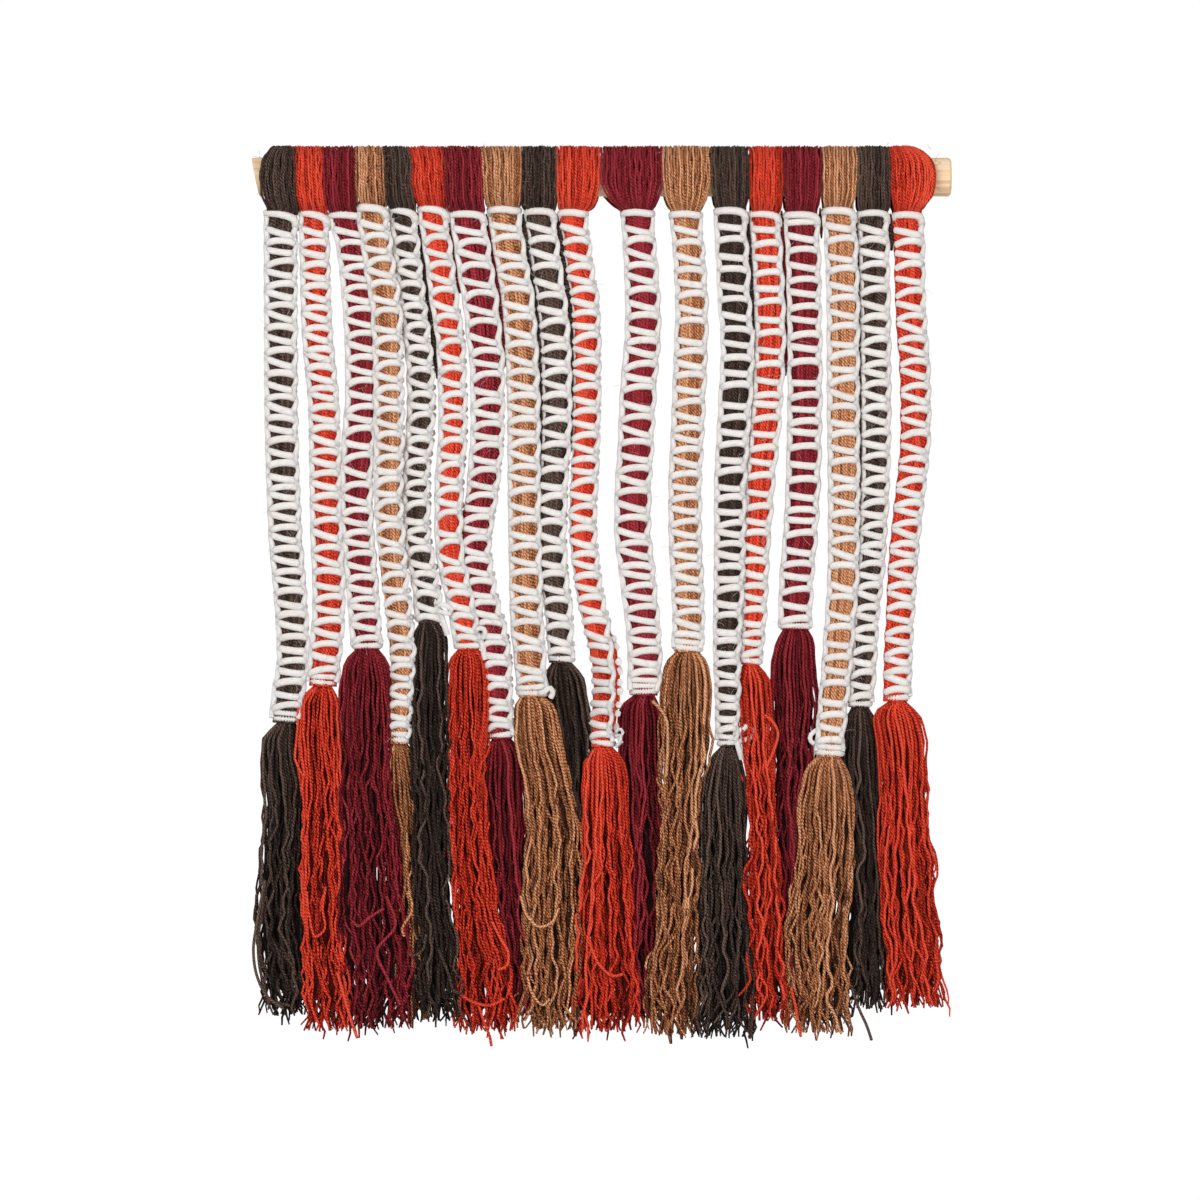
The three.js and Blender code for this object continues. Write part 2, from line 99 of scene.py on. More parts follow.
strands = [
    {"wraps": 2, "wrapWidth": 14.5, "corner": 1.0, "firstFall": 3.4,
     "head": [(-214, -200.5), (-222.5, -199), (-218, -197)],
     "line": [(-23, -209.5), (-146, -209.5), (-185.5, -208.5), (-211.5, -207.5), (-238, -206.5),
              (-264, -204), (-290, -202), (-316.5, -201), (-342.5, -205.5), (-356.5, -206.5)],
     "width": [(-22, 22.2), (-360, 21.7)],
     "pattern": [(-30, 14.1, 4.4, -1.2, 2.6), (-220, 14.3, 4.2, -0.8, 1.8), (-340, 14.3, 3.8, -0.4, 1.4)],
     "tassel": [(-356, -213.5, -199), (-369, -221.5, -198), (-382, -222.5, -196.5), (-395, -222.5, -192.5),
                (-408, -220.5, -192.5), (-447, -222.5, -194), (-474, -224, -194.5), (-500, -224, -193),
                (-526, -220, -190), (-549, -218, -190)]},
    {"wraps": 2, "wrapWidth": 14.5, "corner": 1.5, "firstFall": 3.6,
     "head": [(-200.5, -182.5), (-199, -181), (-197, -179)],
     "line": [(-23, -188), (-80.5, -186.5), (-107, -185.5), (-146, -181.5), (-185.5, -180.5),
              (-211.5, -180), (-238, -179.5), (-264, -178), (-290, -178), (-316.5, -181),
              (-332.5, -182.5)],
     "width": [(-22, 19.7), (-200, 21.2), (-330, 22.2)],
     "pattern": [(-30, 14.2, 3.8, -0.8, 2.4), (-170, 15, 4.4, -1, 2), (-330, 15.6, 4.8, -0.6, 1.6)],
     "tassel": [(-333, -190.5, -175.5), (-343, -197, -172.5), (-369, -198, -171), (-395, -194, -171),
                (-447, -194, -171), (-474, -194.5, -171), (-500, -192.5, -171.5), (-526, -189.5, -168.5),
                (-559, -188.5, -165.5)]},
    {"wraps": 1, "wrapWidth": 17.5, "lift": 0.8, "corner": 2.0, "flare": 0.2,
     "firstFall": 0.4, "firstTurn": 0.2,
     "head": [(-182.5, -160.5), (-181, -160), (-179, -159.5)],
     "line": [(-23, -168.5), (-41.5, -163), (-54.5, -161), (-80.5, -158.5), (-107, -156.5), (-146, -156),
              (-172.5, -158.5), (-198.5, -160), (-224.5, -160), (-251, -157.5), (-277, -155.5),
              (-308.5, -153)],
     "width": [(-22, 21.7), (-150, 22.2), (-308, 21.2)], "turn": [(0, 2)],
     "pattern": [(-30, 16.1, 3.6, -0.8, 1.2), (-90, 16, 4.6, -0.9, 1.4), (-190, 15.8, 4.8, -0.9, 1.6),
                 (-250, 14, 3.6, -0.6, 1)],
     "tassel": [(-309, -162, -143.5), (-316, -166.5, -141.5), (-329, -169, -137), (-356, -171, -136),
                (-395, -171.5, -137.5), (-434, -171, -133.5), (-460, -171, -133), (-487, -170.5, -129.5),
                (-513, -168.5, -125), (-557, -167.5, -127.5)]},
    {"wraps": 2, "wrapWidth": 11.5, "lift": -2.6, "corner": 2.6, "flare": 0.24, "wave": 1.5,
     "firstFall": 1.2,
     "head": [(-160.5, -143), (-160, -141), (-159.5, -139.5)],
     "line": [(-19, -150.5), (-41.5, -146.5), (-54.5, -145.5), (-80.5, -140.5), (-107, -139),
              (-146, -138.5), (-172.5, -138), (-211.5, -139), (-238, -137), (-264, -134.5), (-290, -131.5),
              (-316.5, -128.5), (-342.5, -130.5), (-370, -131.5)],
     "width": [(-22, 20.7), (-150, 20.2), (-300, 18.2), (-370, 16.2)],
     "turn": [(-30, 4), (-150, 7), (-280, 9), (-330, 15), (-370, 15)],
     "leftSeen": [(-190, 3.4), (-250, 1.2)], "wide": [(-92, 5)],
     "pattern": [(-30, 16, 3.6, -1.2, 1.2), (-180, 15.1, 3.2, -1.2, 1.2), (-260, 15, 1.8, -1.6, 1),
                 (-360, 14.8, 1.4, -1.8, 1)],
     "tassel": [(-370, -137, -126.5), (-382, -139.5, -123), (-408, -141.5, -115.5), (-434, -139.5, -113.5),
                (-460, -138, -112), (-500, -137, -112), (-552, -135, -112)]},
    {"wraps": 0, "wrapWidth": 16, "lift": 0.8, "corner": 2.4, "flare": 0.2, "wave": 1.5,
     "firstFall": 2.8,
     "head": [(-143, -126.5), (-141, -123), (-139.5, -121)],
     "line": [(-20.5, -129.5), (-41.5, -127.5), (-80.5, -123), (-107, -119.5), (-120, -118), (-146, -117),
              (-172.5, -118), (-185.5, -120.5), (-238, -120.5), (-251, -117), (-264, -114.5), (-277, -113),
              (-291.5, -112.5)],
     "width": [(-22, 18), (-290, 18.6)], "turn": [(-25, 7), (-60, 12), (-240, 12), (-290, 7)],
     "touch": [(1, -24, -130)],
     "pattern": [(-30, 14.4, 3.6, -1, 1), (-220, 15.2, 3.8, -1, 1.2), (-290, 15.2, 2.4, -1, 1.2)],
     "tassel": [(-291, -121, -103.5), (-303, -122, -101.5), (-329, -124, -100.5), (-356, -126, -99.5),
                (-395, -122, -99), (-421, -121, -99.5), (-474, -120, -97.5), (-500, -117, -93.5),
                (-526, -119, -91), (-553, -120, -90.5)]},
    {"wraps": 1, "wrapWidth": 16.5, "corner": 2.6, "flare": 0.2, "wave": 1.1,
     "firstFall": 2.2,
     "head": [(-126.5, -104.5), (-123, -102.5), (-120.5, -101.5)],
     "line": [(-19.5, -110.5), (-41.5, -107.5), (-54.5, -105.5), (-80.5, -102.5), (-107, -98),
              (-146, -96.5), (-172.5, -96.5), (-198.5, -99), (-238, -99), (-251, -97.5), (-277, -91.5),
              (-290, -89), (-308.5, -86.5)],
     "width": [(-22, 19.4), (-200, 18.8), (-308, 18.7)],
     "turn": [(-25, 3), (-100, 6), (-200, 10), (-308, 12)],
     "pattern": [(-30, 17, 4.6, -1, 1.4), (-170, 15.8, 4, -1, 1.4), (-250, 15.4, 2.8, -1.5, 1.2),
                 (-300, 15.2, 2.4, -1.5, 1.2)],
     "tassel": [(-309, -95.5, -77.5), (-316, -98, -75.5), (-343, -99.5, -74), (-395, -99, -76),
                (-434, -99, -74.5), (-460, -95.5, -72), (-487, -94.5, -68), (-500, -93, -65.5),
                (-513, -91.5, -60.5), (-559, -91.5, -58.5)]},
    {"wraps": 1, "wrapWidth": 15, "corner": 2.8, "flare": 0.24, "wave": 1.1,
     "firstFall": 0.4,
     "head": [(-104.5, -79), (-102.5, -77), (-101, -75.5)],
     "line": [(-22.5, -88), (-41.5, -84.5), (-54.5, -83), (-80.5, -78.5), (-107, -76), (-120, -74),
              (-172.5, -74), (-198.5, -76.5), (-211.5, -78), (-224.5, -80), (-238, -82), (-251, -81),
              (-264, -78.5), (-277, -76.5), (-290, -72.5), (-303.5, -69), (-316.5, -67.5), (-342.5, -66.5),
              (-367, -65)],
     "width": [(-22, 23.2), (-60, 24), (-180, 22.2), (-230, 20.7), (-367, 18.2)],
     "turn": [(-25, 4), (-180, 5), (-260, 10), (-367, 12)], "leftSeen": [(-190, 3.4), (-225, 0.8)],
     "touch": [(-1, -24, -76), (1, -24, -122), (-1, -216, -290)],
     "pattern": [(-30, 15.8, 3.6, -1, 1.6), (-120, 15.5, 4, -1, 1.6), (-200, 14.6, 2.8, -1.4, 1.4),
                 (-235, 13.8, 0.6, -2.2, 1), (-367, 14.2, 0.4, -2.2, 0.8)],
     "tassel": [(-367, -72.5, -57), (-382, -74.5, -51.5), (-395, -76, -50.5), (-434, -74, -48.5),
                (-460, -71.5, -48.5), (-474, -70, -46.5), (-500, -66, -43), (-549, -63, -40)]},
    {"wraps": 2, "wrapWidth": 18.5, "corner": 1.6, "firstFall": 0.2, "firstTurn": 0,
     "head": [(-79, -51.5), (-77, -51.5), (-75.5, -52.5)],
     "line": [(-19.5, -64), (-41.5, -61), (-54.5, -58.5), (-80.5, -54), (-107, -52), (-146, -50.5),
              (-211.5, -50), (-238, -49.5), (-290, -48.5), (-316.5, -46), (-339.5, -44.5)],
     "width": [(-22, 21.4), (-150, 22), (-300, 22), (-339, 20.7)], "turn": [(-25, 2), (-340, 5)],
     "leftSeen": [(0, 2.4)],
     "pattern": [(-30, 17.4, 3, -0.8, 0.8), (-90, 17.2, 4.2, -1.2, 1.6), (-200, 16.4, 4.4, -1.3, 2),
                 (-339, 15.8, 4, -1.2, 2)],
     "tassel": [(-339, -53.5, -35.5), (-343, -55, -31.5), (-369, -55, -26), (-382, -53, -23),
                (-395, -48.5, -21), (-408, -48.5, -17.5), (-421, -48.5, -14.5), (-434, -48.5, -13),
                (-460, -50.5, -13), (-487, -50.5, -14), (-513, -48, -14.5), (-558, -50.5, -20.5)]},
    {"wraps": 1, "wrapWidth": 15, "lift": 0.5, "corner": 1.6, "firstFall": -0.2,
     "head": [(-51.5, -29), (-51.5, -29), (-52.5, -29)],
     "line": [(-20.5, -40.5), (-41.5, -37.5), (-54.5, -36), (-80.5, -32), (-107, -29.5), (-146, -28.5),
              (-172.5, -29), (-198.5, -31), (-238, -32), (-264, -30.5), (-277, -28), (-290, -27),
              (-317, -25.5)],
     "width": [(-22, 20.2), (-150, 19.8), (-260, 19.2), (-317, 17.7)],
     "turn": [(-25, 2.5), (-180, 5), (-240, 9), (-317, 8)], "leftSeen": [(0, 1.6)],
     "touch": [(-1, -24, -230), (1, -24, -180)],
     "pattern": [(-30, 17.6, 4.4, -1, 1.6), (-110, 17, 4.8, -1.2, 1.6), (-240, 15.6, 3.4, -1.2, 2),
                 (-317, 15.4, 3, -1, 2)],
     "tassel": [(-317, -33, -17.5), (-329, -36, -12), (-343, -35.5, -9), (-356, -33.5, -7),
                (-369, -32, -6), (-395, -31.5, -6), (-500, -31.5, -6), (-549, -30, -6)]},
    {"wraps": 1, "wrapWidth": 14, "corner": 1.4, "wave": 1.1, "firstFall": 0.4,
     "firstTurn": 0,
     "head": [(-29, -0.6), (-29, -0.6), (-27.5, -5)],
     "line": [(-21.5, -19), (-41.5, -15.5), (-54.5, -14.5), (-80.5, -10), (-107, -9), (-146, -9),
              (-183.5, -10), (-225.5, -12), (-246.5, -10.5), (-258.5, -9), (-279.5, -6), (-290, -3),
              (-300.5, -0.5), (-311, 2.5), (-321.5, 4), (-342.5, 4.5), (-352.5, 2), (-372, 1.5)],
     "width": [(-22, 18.8), (-180, 18.8), (-300, 18.2), (-372, 16.7)],
     "turn": [(-25, 4), (-180, 6), (-290, 8), (-315, 50), (-345, 56), (-372, 20)], "leftSeen": [(0, 1.4)],
     "pattern": [(-30, 17, 4.4, -1, 1.4), (-180, 16, 4.2, -1, 1.4), (-260, 16, 3, -1.2, 1.2),
                 (-372, 15, 1.8, -1.2, 0.4)],
     "tassel": [(-372, -6, 8.5), (-382, -10, 13), (-395, -10.5, 15.5), (-434, -12, 17), (-460, -12, 18),
                (-500, -14, 18), (-526, -14.5, 20.5), (-559, -15.5, 23.5)]},
    {"wraps": 3, "wrapWidth": 16.5, "corner": 1.6, "firstFall": 0, "firstTurn": 0,
     "head": [(-0.4, 39.8), (-0.4, 40.2), (11, 34)],
     "line": [(-21.5, 23.5), (-41.5, 25), (-54.5, 26), (-80.5, 27.5), (-107, 27.5), (-120, 26), (-146, 24),
              (-172.5, 23), (-185.5, 22.5), (-198.5, 21), (-238, 20.5), (-251, 23), (-264, 24),
              (-277, 25.5), (-290, 27.5), (-316.5, 29), (-338.5, 28)],
     "width": [(-22, 21.7), (-100, 23.7), (-250, 24.2), (-338, 22.2)],
     "pattern": [(-30, 17.6, 4.2, -1.8, 1.6), (-150, 16.6, 4.8, -1.4, 1.6), (-230, 15.2, 4.6, -1, 1.4),
                 (-338, 15, 4.4, -0.6, 1.2)],
     "tassel": [(-339, 19.5, 36), (-343, 14.5, 36.5), (-356, 12.5, 39.5), (-382, 12, 40), (-395, 15, 40),
                (-447, 15, 41.5), (-500, 15, 41.5), (-551, 16.5, 41.5)]},
    {"wraps": 2, "wrapWidth": 17.5, "corner": 1.0, "firstFall": 0, "firstTurn": 0,
     "head": [(40, 71), (40, 71.4), (46, 65.5)],
     "line": [(-22.5, 55), (-41.5, 57), (-80.5, 59.5), (-107, 59), (-146, 57.5), (-172.5, 56.5),
              (-198.5, 55), (-238, 55), (-264, 56.5), (-290, 57.5), (-310, 56.5)],
     "width": [(-22, 21.2), (-120, 22.2), (-310, 21.7)],
     "pattern": [(-30, 17.8, 4.2, -0.2, 1.6), (-170, 17, 5, -0.4, 1.8), (-310, 15, 4.4, -0.2, 1.2)],
     "tassel": [(-310, 48, 65), (-316, 44, 68), (-329, 41.5, 70.5), (-343, 39.5, 71.5), (-369, 39.5, 71.5),
                (-395, 40, 67.5), (-434, 40.5, 65), (-460, 38.5, 64), (-487, 38.5, 63), (-500, 37.5, 61.5),
                (-513, 33, 61), (-561, 31.5, 60.5)]},
    {"wraps": 2, "wrapWidth": 11.5, "lift": -1, "corner": 0.5, "wave": 1.1,
     "firstFall": 0.6,
     "head": [(71.5, 96.5), (71.5, 96.5), (75, 95.5)],
     "line": [(-20.5, 85), (-41.5, 85), (-54.5, 86.5), (-80.5, 87), (-93.5, 88.5), (-107, 89.5),
              (-120, 89.5), (-146, 88), (-172.5, 86.5), (-198.5, 85), (-238, 85), (-264, 84.5),
              (-290, 83.5), (-316.5, 83), (-342.5, 84), (-372, 83)],
     "width": [(-22, 21.7), (-130, 22.2), (-260, 20.2), (-340, 17.2), (-372, 15.2)],
     "turn": [(-25, 3), (-160, 4), (-220, 9), (-372, 15)], "touch": [(1, -24, -100), (1, -200, -290)],
     "pattern": [(-30, 19.4, 4.6, 1.8, 0.6), (-160, 18.8, 4.8, 1.2, 0.6), (-200, 15.8, 3.4, -0.3, 0.6),
                 (-372, 15.2, 2.4, -0.3, 0.2)],
     "tassel": [(-372, 76, 86.5), (-382, 72, 91), (-395, 67.5, 93.5), (-408, 65.5, 95), (-460, 65.5, 94.5),
                (-487, 65.5, 95.5), (-513, 65.5, 97.5), (-563, 61, 98)]},
    {"wraps": 1, "wrapWidth": 12.5, "lift": 0.8, "corner": 0.5, "firstFall": 1.2,
     "head": [(97, 118.5), (97, 118.5), (98, 118)],
     "line": [(-22.5, 107), (-41.5, 108.5), (-80.5, 110.5), (-107, 111), (-146, 109), (-172.5, 107),
              (-198.5, 104), (-224.5, 102.5), (-238, 101), (-290, 100), (-318.5, 98)],
     "width": [(-22, 20.2), (-150, 20.7), (-250, 19.2), (-318, 15.7)], "turn": [(-25, 3), (-318, 1)],
     "leftSeen": [(0, 2.6)],
     "pattern": [(-30, 20.4, 5, 2.2, 0.6), (-180, 19.6, 5.2, 1.8, 0.8), (-250, 17.6, 4.8, 0.4, 0.8),
                 (-318, 15.4, 4, 0, 0.8)],
     "tassel": [(-318, 92.5, 104), (-329, 90.5, 109.5), (-356, 91.5, 111.5), (-395, 94.5, 112.5),
                (-408, 95.5, 112.5), (-434, 98, 114.5), (-460, 95.5, 115.5), (-500, 97.5, 115.5),
                (-526, 97.5, 117), (-552, 98, 121)]},
    {"wraps": 1, "wrapWidth": 19.5, "corner": 1.0, "firstFall": 0.4, "firstBand": 4.2,
     "head": [(119, 144), (119, 144), (121, 141.5)],
     "line": [(-23, 131), (-54.5, 132.5), (-80.5, 133), (-107, 133.5), (-146, 133.5), (-172.5, 133),
              (-198.5, 132.5), (-238, 130.5), (-251, 129), (-264, 128), (-295.5, 127)],
     "width": [(-22, 23.2), (-295, 22.7)], "turn": [(0, 1.5)], "touch": [(-1, -22, -128), (1, -20, -38)],
     "pattern": [(-30, 20.6, 5.4, 0.6, 0.6), (-120, 20.4, 5.2, 2, 0.8), (-200, 20, 5, 2.4, 0.8),
                 (-295, 18, 4.6, -0.2, 0.8)],
     "tassel": [(-295, 117, 137), (-303, 116.5, 137.5), (-316, 112.5, 139), (-329, 111.5, 140),
                (-343, 111.5, 142), (-369, 112.5, 139.5), (-408, 112.5, 135.5), (-447, 114, 135.5),
                (-546, 114, 135.5)]},
    {"wraps": 2, "wrapWidth": 17, "lift": -1.2, "corner": 1.0, "firstFall": 0.4,
     "head": [(144.5, 167), (144.5, 167), (145.5, 164.5)],
     "line": [(-20.5, 155), (-41.5, 157), (-80.5, 158.5), (-146, 158.5), (-185.5, 159), (-238, 159),
              (-264, 158.5), (-290, 156.5), (-316.5, 154.5), (-329.5, 153.5), (-342.5, 152), (-355.5, 151),
              (-369, 149.5), (-378.5, 149.5)],
     "width": [(-22, 22.2), (-200, 21.2), (-378, 19.7)], "turn": [(0, 1.5)], "wide": [(-176, 3)],
     "pattern": [(-30, 17.7, 4.2, -0.8, 1.2), (-290, 17.7, 4.8, -0.8, 1.4), (-310, 18, 5, 1.6, 1.2),
                 (-378, 16.6, 4.4, 1.2, 1)],
     "tassel": [(-379, 140, 158), (-382, 137, 158), (-395, 133, 162.5), (-408, 129.5, 165),
                (-421, 128.5, 165.5), (-447, 128.5, 163), (-460, 126.5, 162.5), (-474, 124.5, 162),
                (-487, 122.5, 159), (-500, 122, 158.5), (-526, 124, 158.5), (-560, 125, 158.5)]},
    {"wraps": 1, "wrapWidth": 13.5, "lift": 1, "corner": 1.8, "firstFall": -0.6,
     "head": [(167, 188.5), (167, 188.5), (167, 189.5)],
     "line": [(-21.5, 178), (-41.5, 178.5), (-80.5, 179.5), (-146, 180), (-185.5, 180), (-211.5, 179),
              (-238, 177.5), (-251, 177), (-264, 176), (-277, 174), (-303.5, 172.5), (-329.5, 171),
              (-346.5, 169.5)],
     "width": [(-22, 20.7), (-150, 19.7), (-346, 16.7)], "turn": [(-25, 2), (-200, -2), (-346, -4)],
     "leftSeen": [(0, 2)], "touch": [(-1, -24, -300), (1, -24, -48)],
     "pattern": [(-30, 16.6, 3.8, -0.6, 1.2), (-110, 16.2, 5, -0.6, 1.2), (-346, 14, 4, -0.4, 1)],
     "tassel": [(-346, 162.5, 177), (-356, 162, 178), (-369, 160, 181.5), (-382, 158, 182.5),
                (-395, 160, 182.5), (-434, 162, 185.5), (-460, 162, 186.5), (-487, 161, 188),
                (-500, 159, 189.5), (-526, 159, 190), (-545, 160.5, 190)]},
    {"wraps": 1, "wrapWidth": 14, "corner": 1.8, "firstFall": 0.2,
     "head": [(188.5, 204.5), (188.5, 218.5), (191.5, 209.5)],
     "line": [(-23, 200.5), (-41.5, 202), (-80.5, 202.5), (-107, 204), (-120, 205.5), (-146, 206),
              (-172.5, 206), (-185.5, 205), (-224.5, 200.5), (-238, 199), (-264, 197), (-277, 196.5),
              (-303.5, 195), (-329.5, 194), (-342.5, 194)],
     "width": [(-22, 20.2), (-170, 19.7), (-342, 18.2)], "turn": [(-25, 0), (-342, -2)],
     "leftSeen": [(0, 0.8)],
     "pattern": [(-30, 16.4, 3.4, -1.2, 1.2), (-130, 15.6, 4.8, -1, 1.6), (-342, 13.6, 4.4, -0.6, 1.4)],
     "tassel": [(-343, 187.5, 201), (-349, 180, 205.5), (-356, 179, 209.5), (-369, 181.5, 212),
                (-395, 183.5, 212.5), (-421, 183.5, 213.5), (-434, 182.5, 216), (-447, 182.5, 217.5),
                (-474, 185.5, 216), (-487, 185.5, 219.5), (-500, 190, 219.5), (-526, 190.5, 219.5),
                (-543, 189.5, 224)]},
]
strands = [{**plainStrand, **strand} for strand in strands]


def toLinear(hexColour):
    values = [int(hexColour[i:i + 2], 16) / 255 for i in (1, 3, 5)]
    return tuple(v / 12.92 if v <= 0.04045 else ((v + 0.055) / 1.055) ** 2.4 for v in values) + (1,)


def addNode(tree, kind, wires=None, sockets=None, **settings):
    node = tree.nodes.new(kind)
    for name, value in settings.items():
        setattr(node, name, value)
    for name, value in (sockets or {}).items():
        node.inputs[name].default_value = value
    for name, source in (wires or {}).items():
        tree.links.new(source, node.inputs[name])
    return node


def newMaterial(name, finish):
    material = bpy.data.materials.new(name)
    material.use_nodes = True
    tree = material.node_tree
    surface = tree.nodes["Principled BSDF"]
    for socket, value in finish.items():
        surface.inputs[socket].default_value = value
    return material, tree, surface


def readGrain(tree):
    # Every yarn and cord keeps its own place round (x, y) and along it in mm (z), and its own tone. Yarn that
    # lies under, inside or between other yarn gets a low tone, which is painted shade.
    kept = [addNode(tree, "ShaderNodeAttribute", attribute_name=name) for name in ("grain", "tone")]
    place = kept[0].outputs["Vector"]
    return place, kept[1].outputs["Fac"], addNode(tree, "ShaderNodeSeparateXYZ", {"Vector": place})


def stretchedNoise(tree, place, stretch, **sockets):
    mapping = addNode(tree, "ShaderNodeMapping", {"Vector": place})
    mapping.inputs["Scale"].default_value = stretch
    noise = addNode(tree, "ShaderNodeTexNoise", {"Vector": mapping.outputs[0]}, {"Scale": 1.0, **sockets})
    return noise.outputs["Fac"]


def dress(tree, surface, pattern, colours, factor, height):
    # The colours go from dark to light with the factor, and the relief follows the height.
    ramp = addNode(tree, "ShaderNodeValToRGB", {"Fac": factor})
    while len(ramp.color_ramp.elements) < len(colours):
        ramp.color_ramp.elements.new(0.5)
    for element, place, colour in zip(ramp.color_ramp.elements, pattern["stops"], colours):
        element.position = place
        element.color = toLinear(colour)
    bump = addNode(tree, "ShaderNodeBump", {"Height": height},
                   {"Strength": 1.0, "Distance": pattern["bump"] * mm})
    tree.links.new(ramp.outputs["Color"], surface.inputs["Base Color"])
    tree.links.new(bump.outputs[0], surface.inputs["Normal"])


# Spun wool, two plies twisted together: matt and slightly hairy, so its edges catch a soft sheen and each
# ply shows as a slanting bulge every 2.3 mm. Real fibres are too fine to show, so they are drawn about 0.5 mm
# wide and 2.5 mm long. A few pale hairs lie across the yarn, and fuzz mixes light and dark specks over it.
woolFinish = {"Roughness": 0.88, "Specular IOR Level": 0.22, "Sheen Weight": 0.16, "Sheen Roughness": 0.45}
woolPattern = {"lay": 4.6, "fibre": (2.6, 2.6, 0.42), "hair": (3.2, 3.2, 1.3), "hairFrom": 0.56,
               "hairTo": 0.68, "speck": 1.25, "plyShadeShare": 0.5, "fibreShare": 0.6, "toneShare": 0.52,
               "hairShare": 0.4, "speckShare": 2.0, "speckMiddle": 0.65, "stops": (0.08, 0.55, 0.98),
               "plyRound": 0.6, "plyHeight": 0.9, "fibreHeight": 0.5, "bump": 0.6}
woolColours = {
    "dark": ("#070403", "#382821", "#715b50"),
    "red": ("#480802", "#e13219", "#f86245"),
    "burgundy": ("#180306", "#81131d", "#b43a46"),
    "tan": ("#2e150a", "#b86c3f", "#f2b98c"),
}


def woolMaterial(name, colours):
    material, tree, surface = newMaterial(name, woolFinish)
    surface.inputs["Sheen Tint"].default_value = toLinear(colours[-1])
    grain, tone, part = readGrain(tree)
    angle = addNode(tree, "ShaderNodeMath", {0: part.outputs["Y"], 1: part.outputs["X"]}, operation="ARCTAN2")
    turned = addNode(tree, "ShaderNodeMath", {0: part.outputs["Z"], 2: angle.outputs[0]},
                     {1: 2 * math.pi / woolPattern["lay"]}, operation="MULTIPLY_ADD")
    wave = addNode(tree, "ShaderNodeMath", {0: turned.outputs[0]}, operation="COSINE")
    ply = addNode(tree, "ShaderNodeMath", {0: wave.outputs[0]}, operation="ABSOLUTE")
    fibre = stretchedNoise(tree, grain, woolPattern["fibre"], Detail=3.0, Roughness=0.65)
    hair = stretchedNoise(tree, grain, woolPattern["hair"], Detail=2.0)
    pale = addNode(tree, "ShaderNodeMapRange", {"Value": hair},
                   {"From Min": woolPattern["hairFrom"], "From Max": woolPattern["hairTo"],
                    "To Max": woolPattern["hairShare"]})
    where = addNode(tree, "ShaderNodeTexCoord")
    speck = addNode(tree, "ShaderNodeTexNoise", {"Vector": where.outputs["Object"]},
                    {"Scale": 1 / (woolPattern["speck"] * mm), "Detail": 3.0, "Roughness": 0.8})
    level = addNode(tree, "ShaderNodeMath", {0: speck.outputs["Fac"]}, {1: woolPattern["speckMiddle"]},
                    operation="SUBTRACT")
    # The shares of ply, fibre, tone and speck are added up, and the pale hairs come on top. The ply share is
    # painted shade: it darkens the grooves between the plies. The tone carries painted shade for yarn that
    # lies under, inside or between other yarn.
    total = addNode(tree, "ShaderNodeMath", {0: ply.outputs[0]}, {1: woolPattern["plyShadeShare"]},
                    operation="MULTIPLY")
    for value, share in ((fibre, "fibreShare"), (tone, "toneShare"), (level.outputs[0], "speckShare")):
        total = addNode(tree, "ShaderNodeMath", {0: value, 2: total.outputs[0]}, {1: woolPattern[share]},
                        operation="MULTIPLY_ADD")
    haired = addNode(tree, "ShaderNodeMath", {0: total.outputs[0], 1: pale.outputs[0]}, operation="ADD")
    rounded = addNode(tree, "ShaderNodeMath", {0: ply.outputs[0]}, {1: woolPattern["plyRound"]},
                      operation="POWER")
    high = addNode(tree, "ShaderNodeMath", {0: rounded.outputs[0]}, {1: woolPattern["plyHeight"]},
                   operation="MULTIPLY")
    height = addNode(tree, "ShaderNodeMath", {0: fibre, 2: high.outputs[0]}, {1: woolPattern["fibreHeight"]},
                     operation="MULTIPLY_ADD")
    dress(tree, surface, woolPattern, colours, haired.outputs[0], height.outputs[0])
    return material


# Soft cotton roving cord: loosely twisted and matt white, with fine streaks along it and grey in its creases.
cottonFinish = {"Roughness": 0.92, "Specular IOR Level": 0.2, "Sheen Weight": 0.3, "Sheen Roughness": 0.6,
                "Subsurface Weight": 0.5, "Subsurface Radius": (1, 0.95, 0.9), "Subsurface Scale": 0.003}
cottonPattern = {"lay": 14, "streak": (2.2, 2.2, 0.28), "fluff": (1.2, 1.2, 0.9), "streakShare": 1.4,
                 "toneShare": 0.3, "contrast": 0.37, "stops": (0.22, 0.45, 0.7), "bump": 0.95}
cottonColours = ("#d9cfc8", "#f0e9e4", "#faf6f3")


def cottonMaterial(name, colours):
    material, tree, surface = newMaterial(name, cottonFinish)
    grain, tone, part = readGrain(tree)
    turn = addNode(tree, "ShaderNodeMath", {0: part.outputs["Z"]},
                   {1: 2 * math.pi / cottonPattern["lay"]}, operation="MULTIPLY")
    spun = addNode(tree, "ShaderNodeVectorRotate", {"Vector": grain, "Angle": turn.outputs[0]},
                   rotation_type="Z_AXIS")
    streak = stretchedNoise(tree, spun.outputs[0], cottonPattern["streak"], Detail=4.0, Roughness=0.6)
    fluff = stretchedNoise(tree, grain, cottonPattern["fluff"], Detail=3.0)
    both = addNode(tree, "ShaderNodeMath", {0: streak, 2: fluff}, {1: cottonPattern["streakShare"]},
                   operation="MULTIPLY_ADD")
    shift = addNode(tree, "ShaderNodeMath", {0: tone, 2: both.outputs[0]}, {1: cottonPattern["toneShare"]},
                    operation="MULTIPLY_ADD")
    factor = addNode(tree, "ShaderNodeMath", {0: shift.outputs[0]}, {1: cottonPattern["contrast"]},
                     operation="MULTIPLY")
    dress(tree, surface, cottonPattern, colours, factor.outputs[0], both.outputs[0])
    return material


# Sanded bare pine: no varnish, so it is dull, with brownish lines along the grain. Real ones are finer than
# the 3 mm drawn here.
pineFinish = {"Roughness": 0.62, "Specular IOR Level": 0.35}
pinePattern = {"lineLength": 111, "lineApart": 3.03, "stops": (0.32, 0.48, 0.68), "bump": 0.08}
pineColours = ("#d6a97c", "#e9c9a0", "#f3dec0")


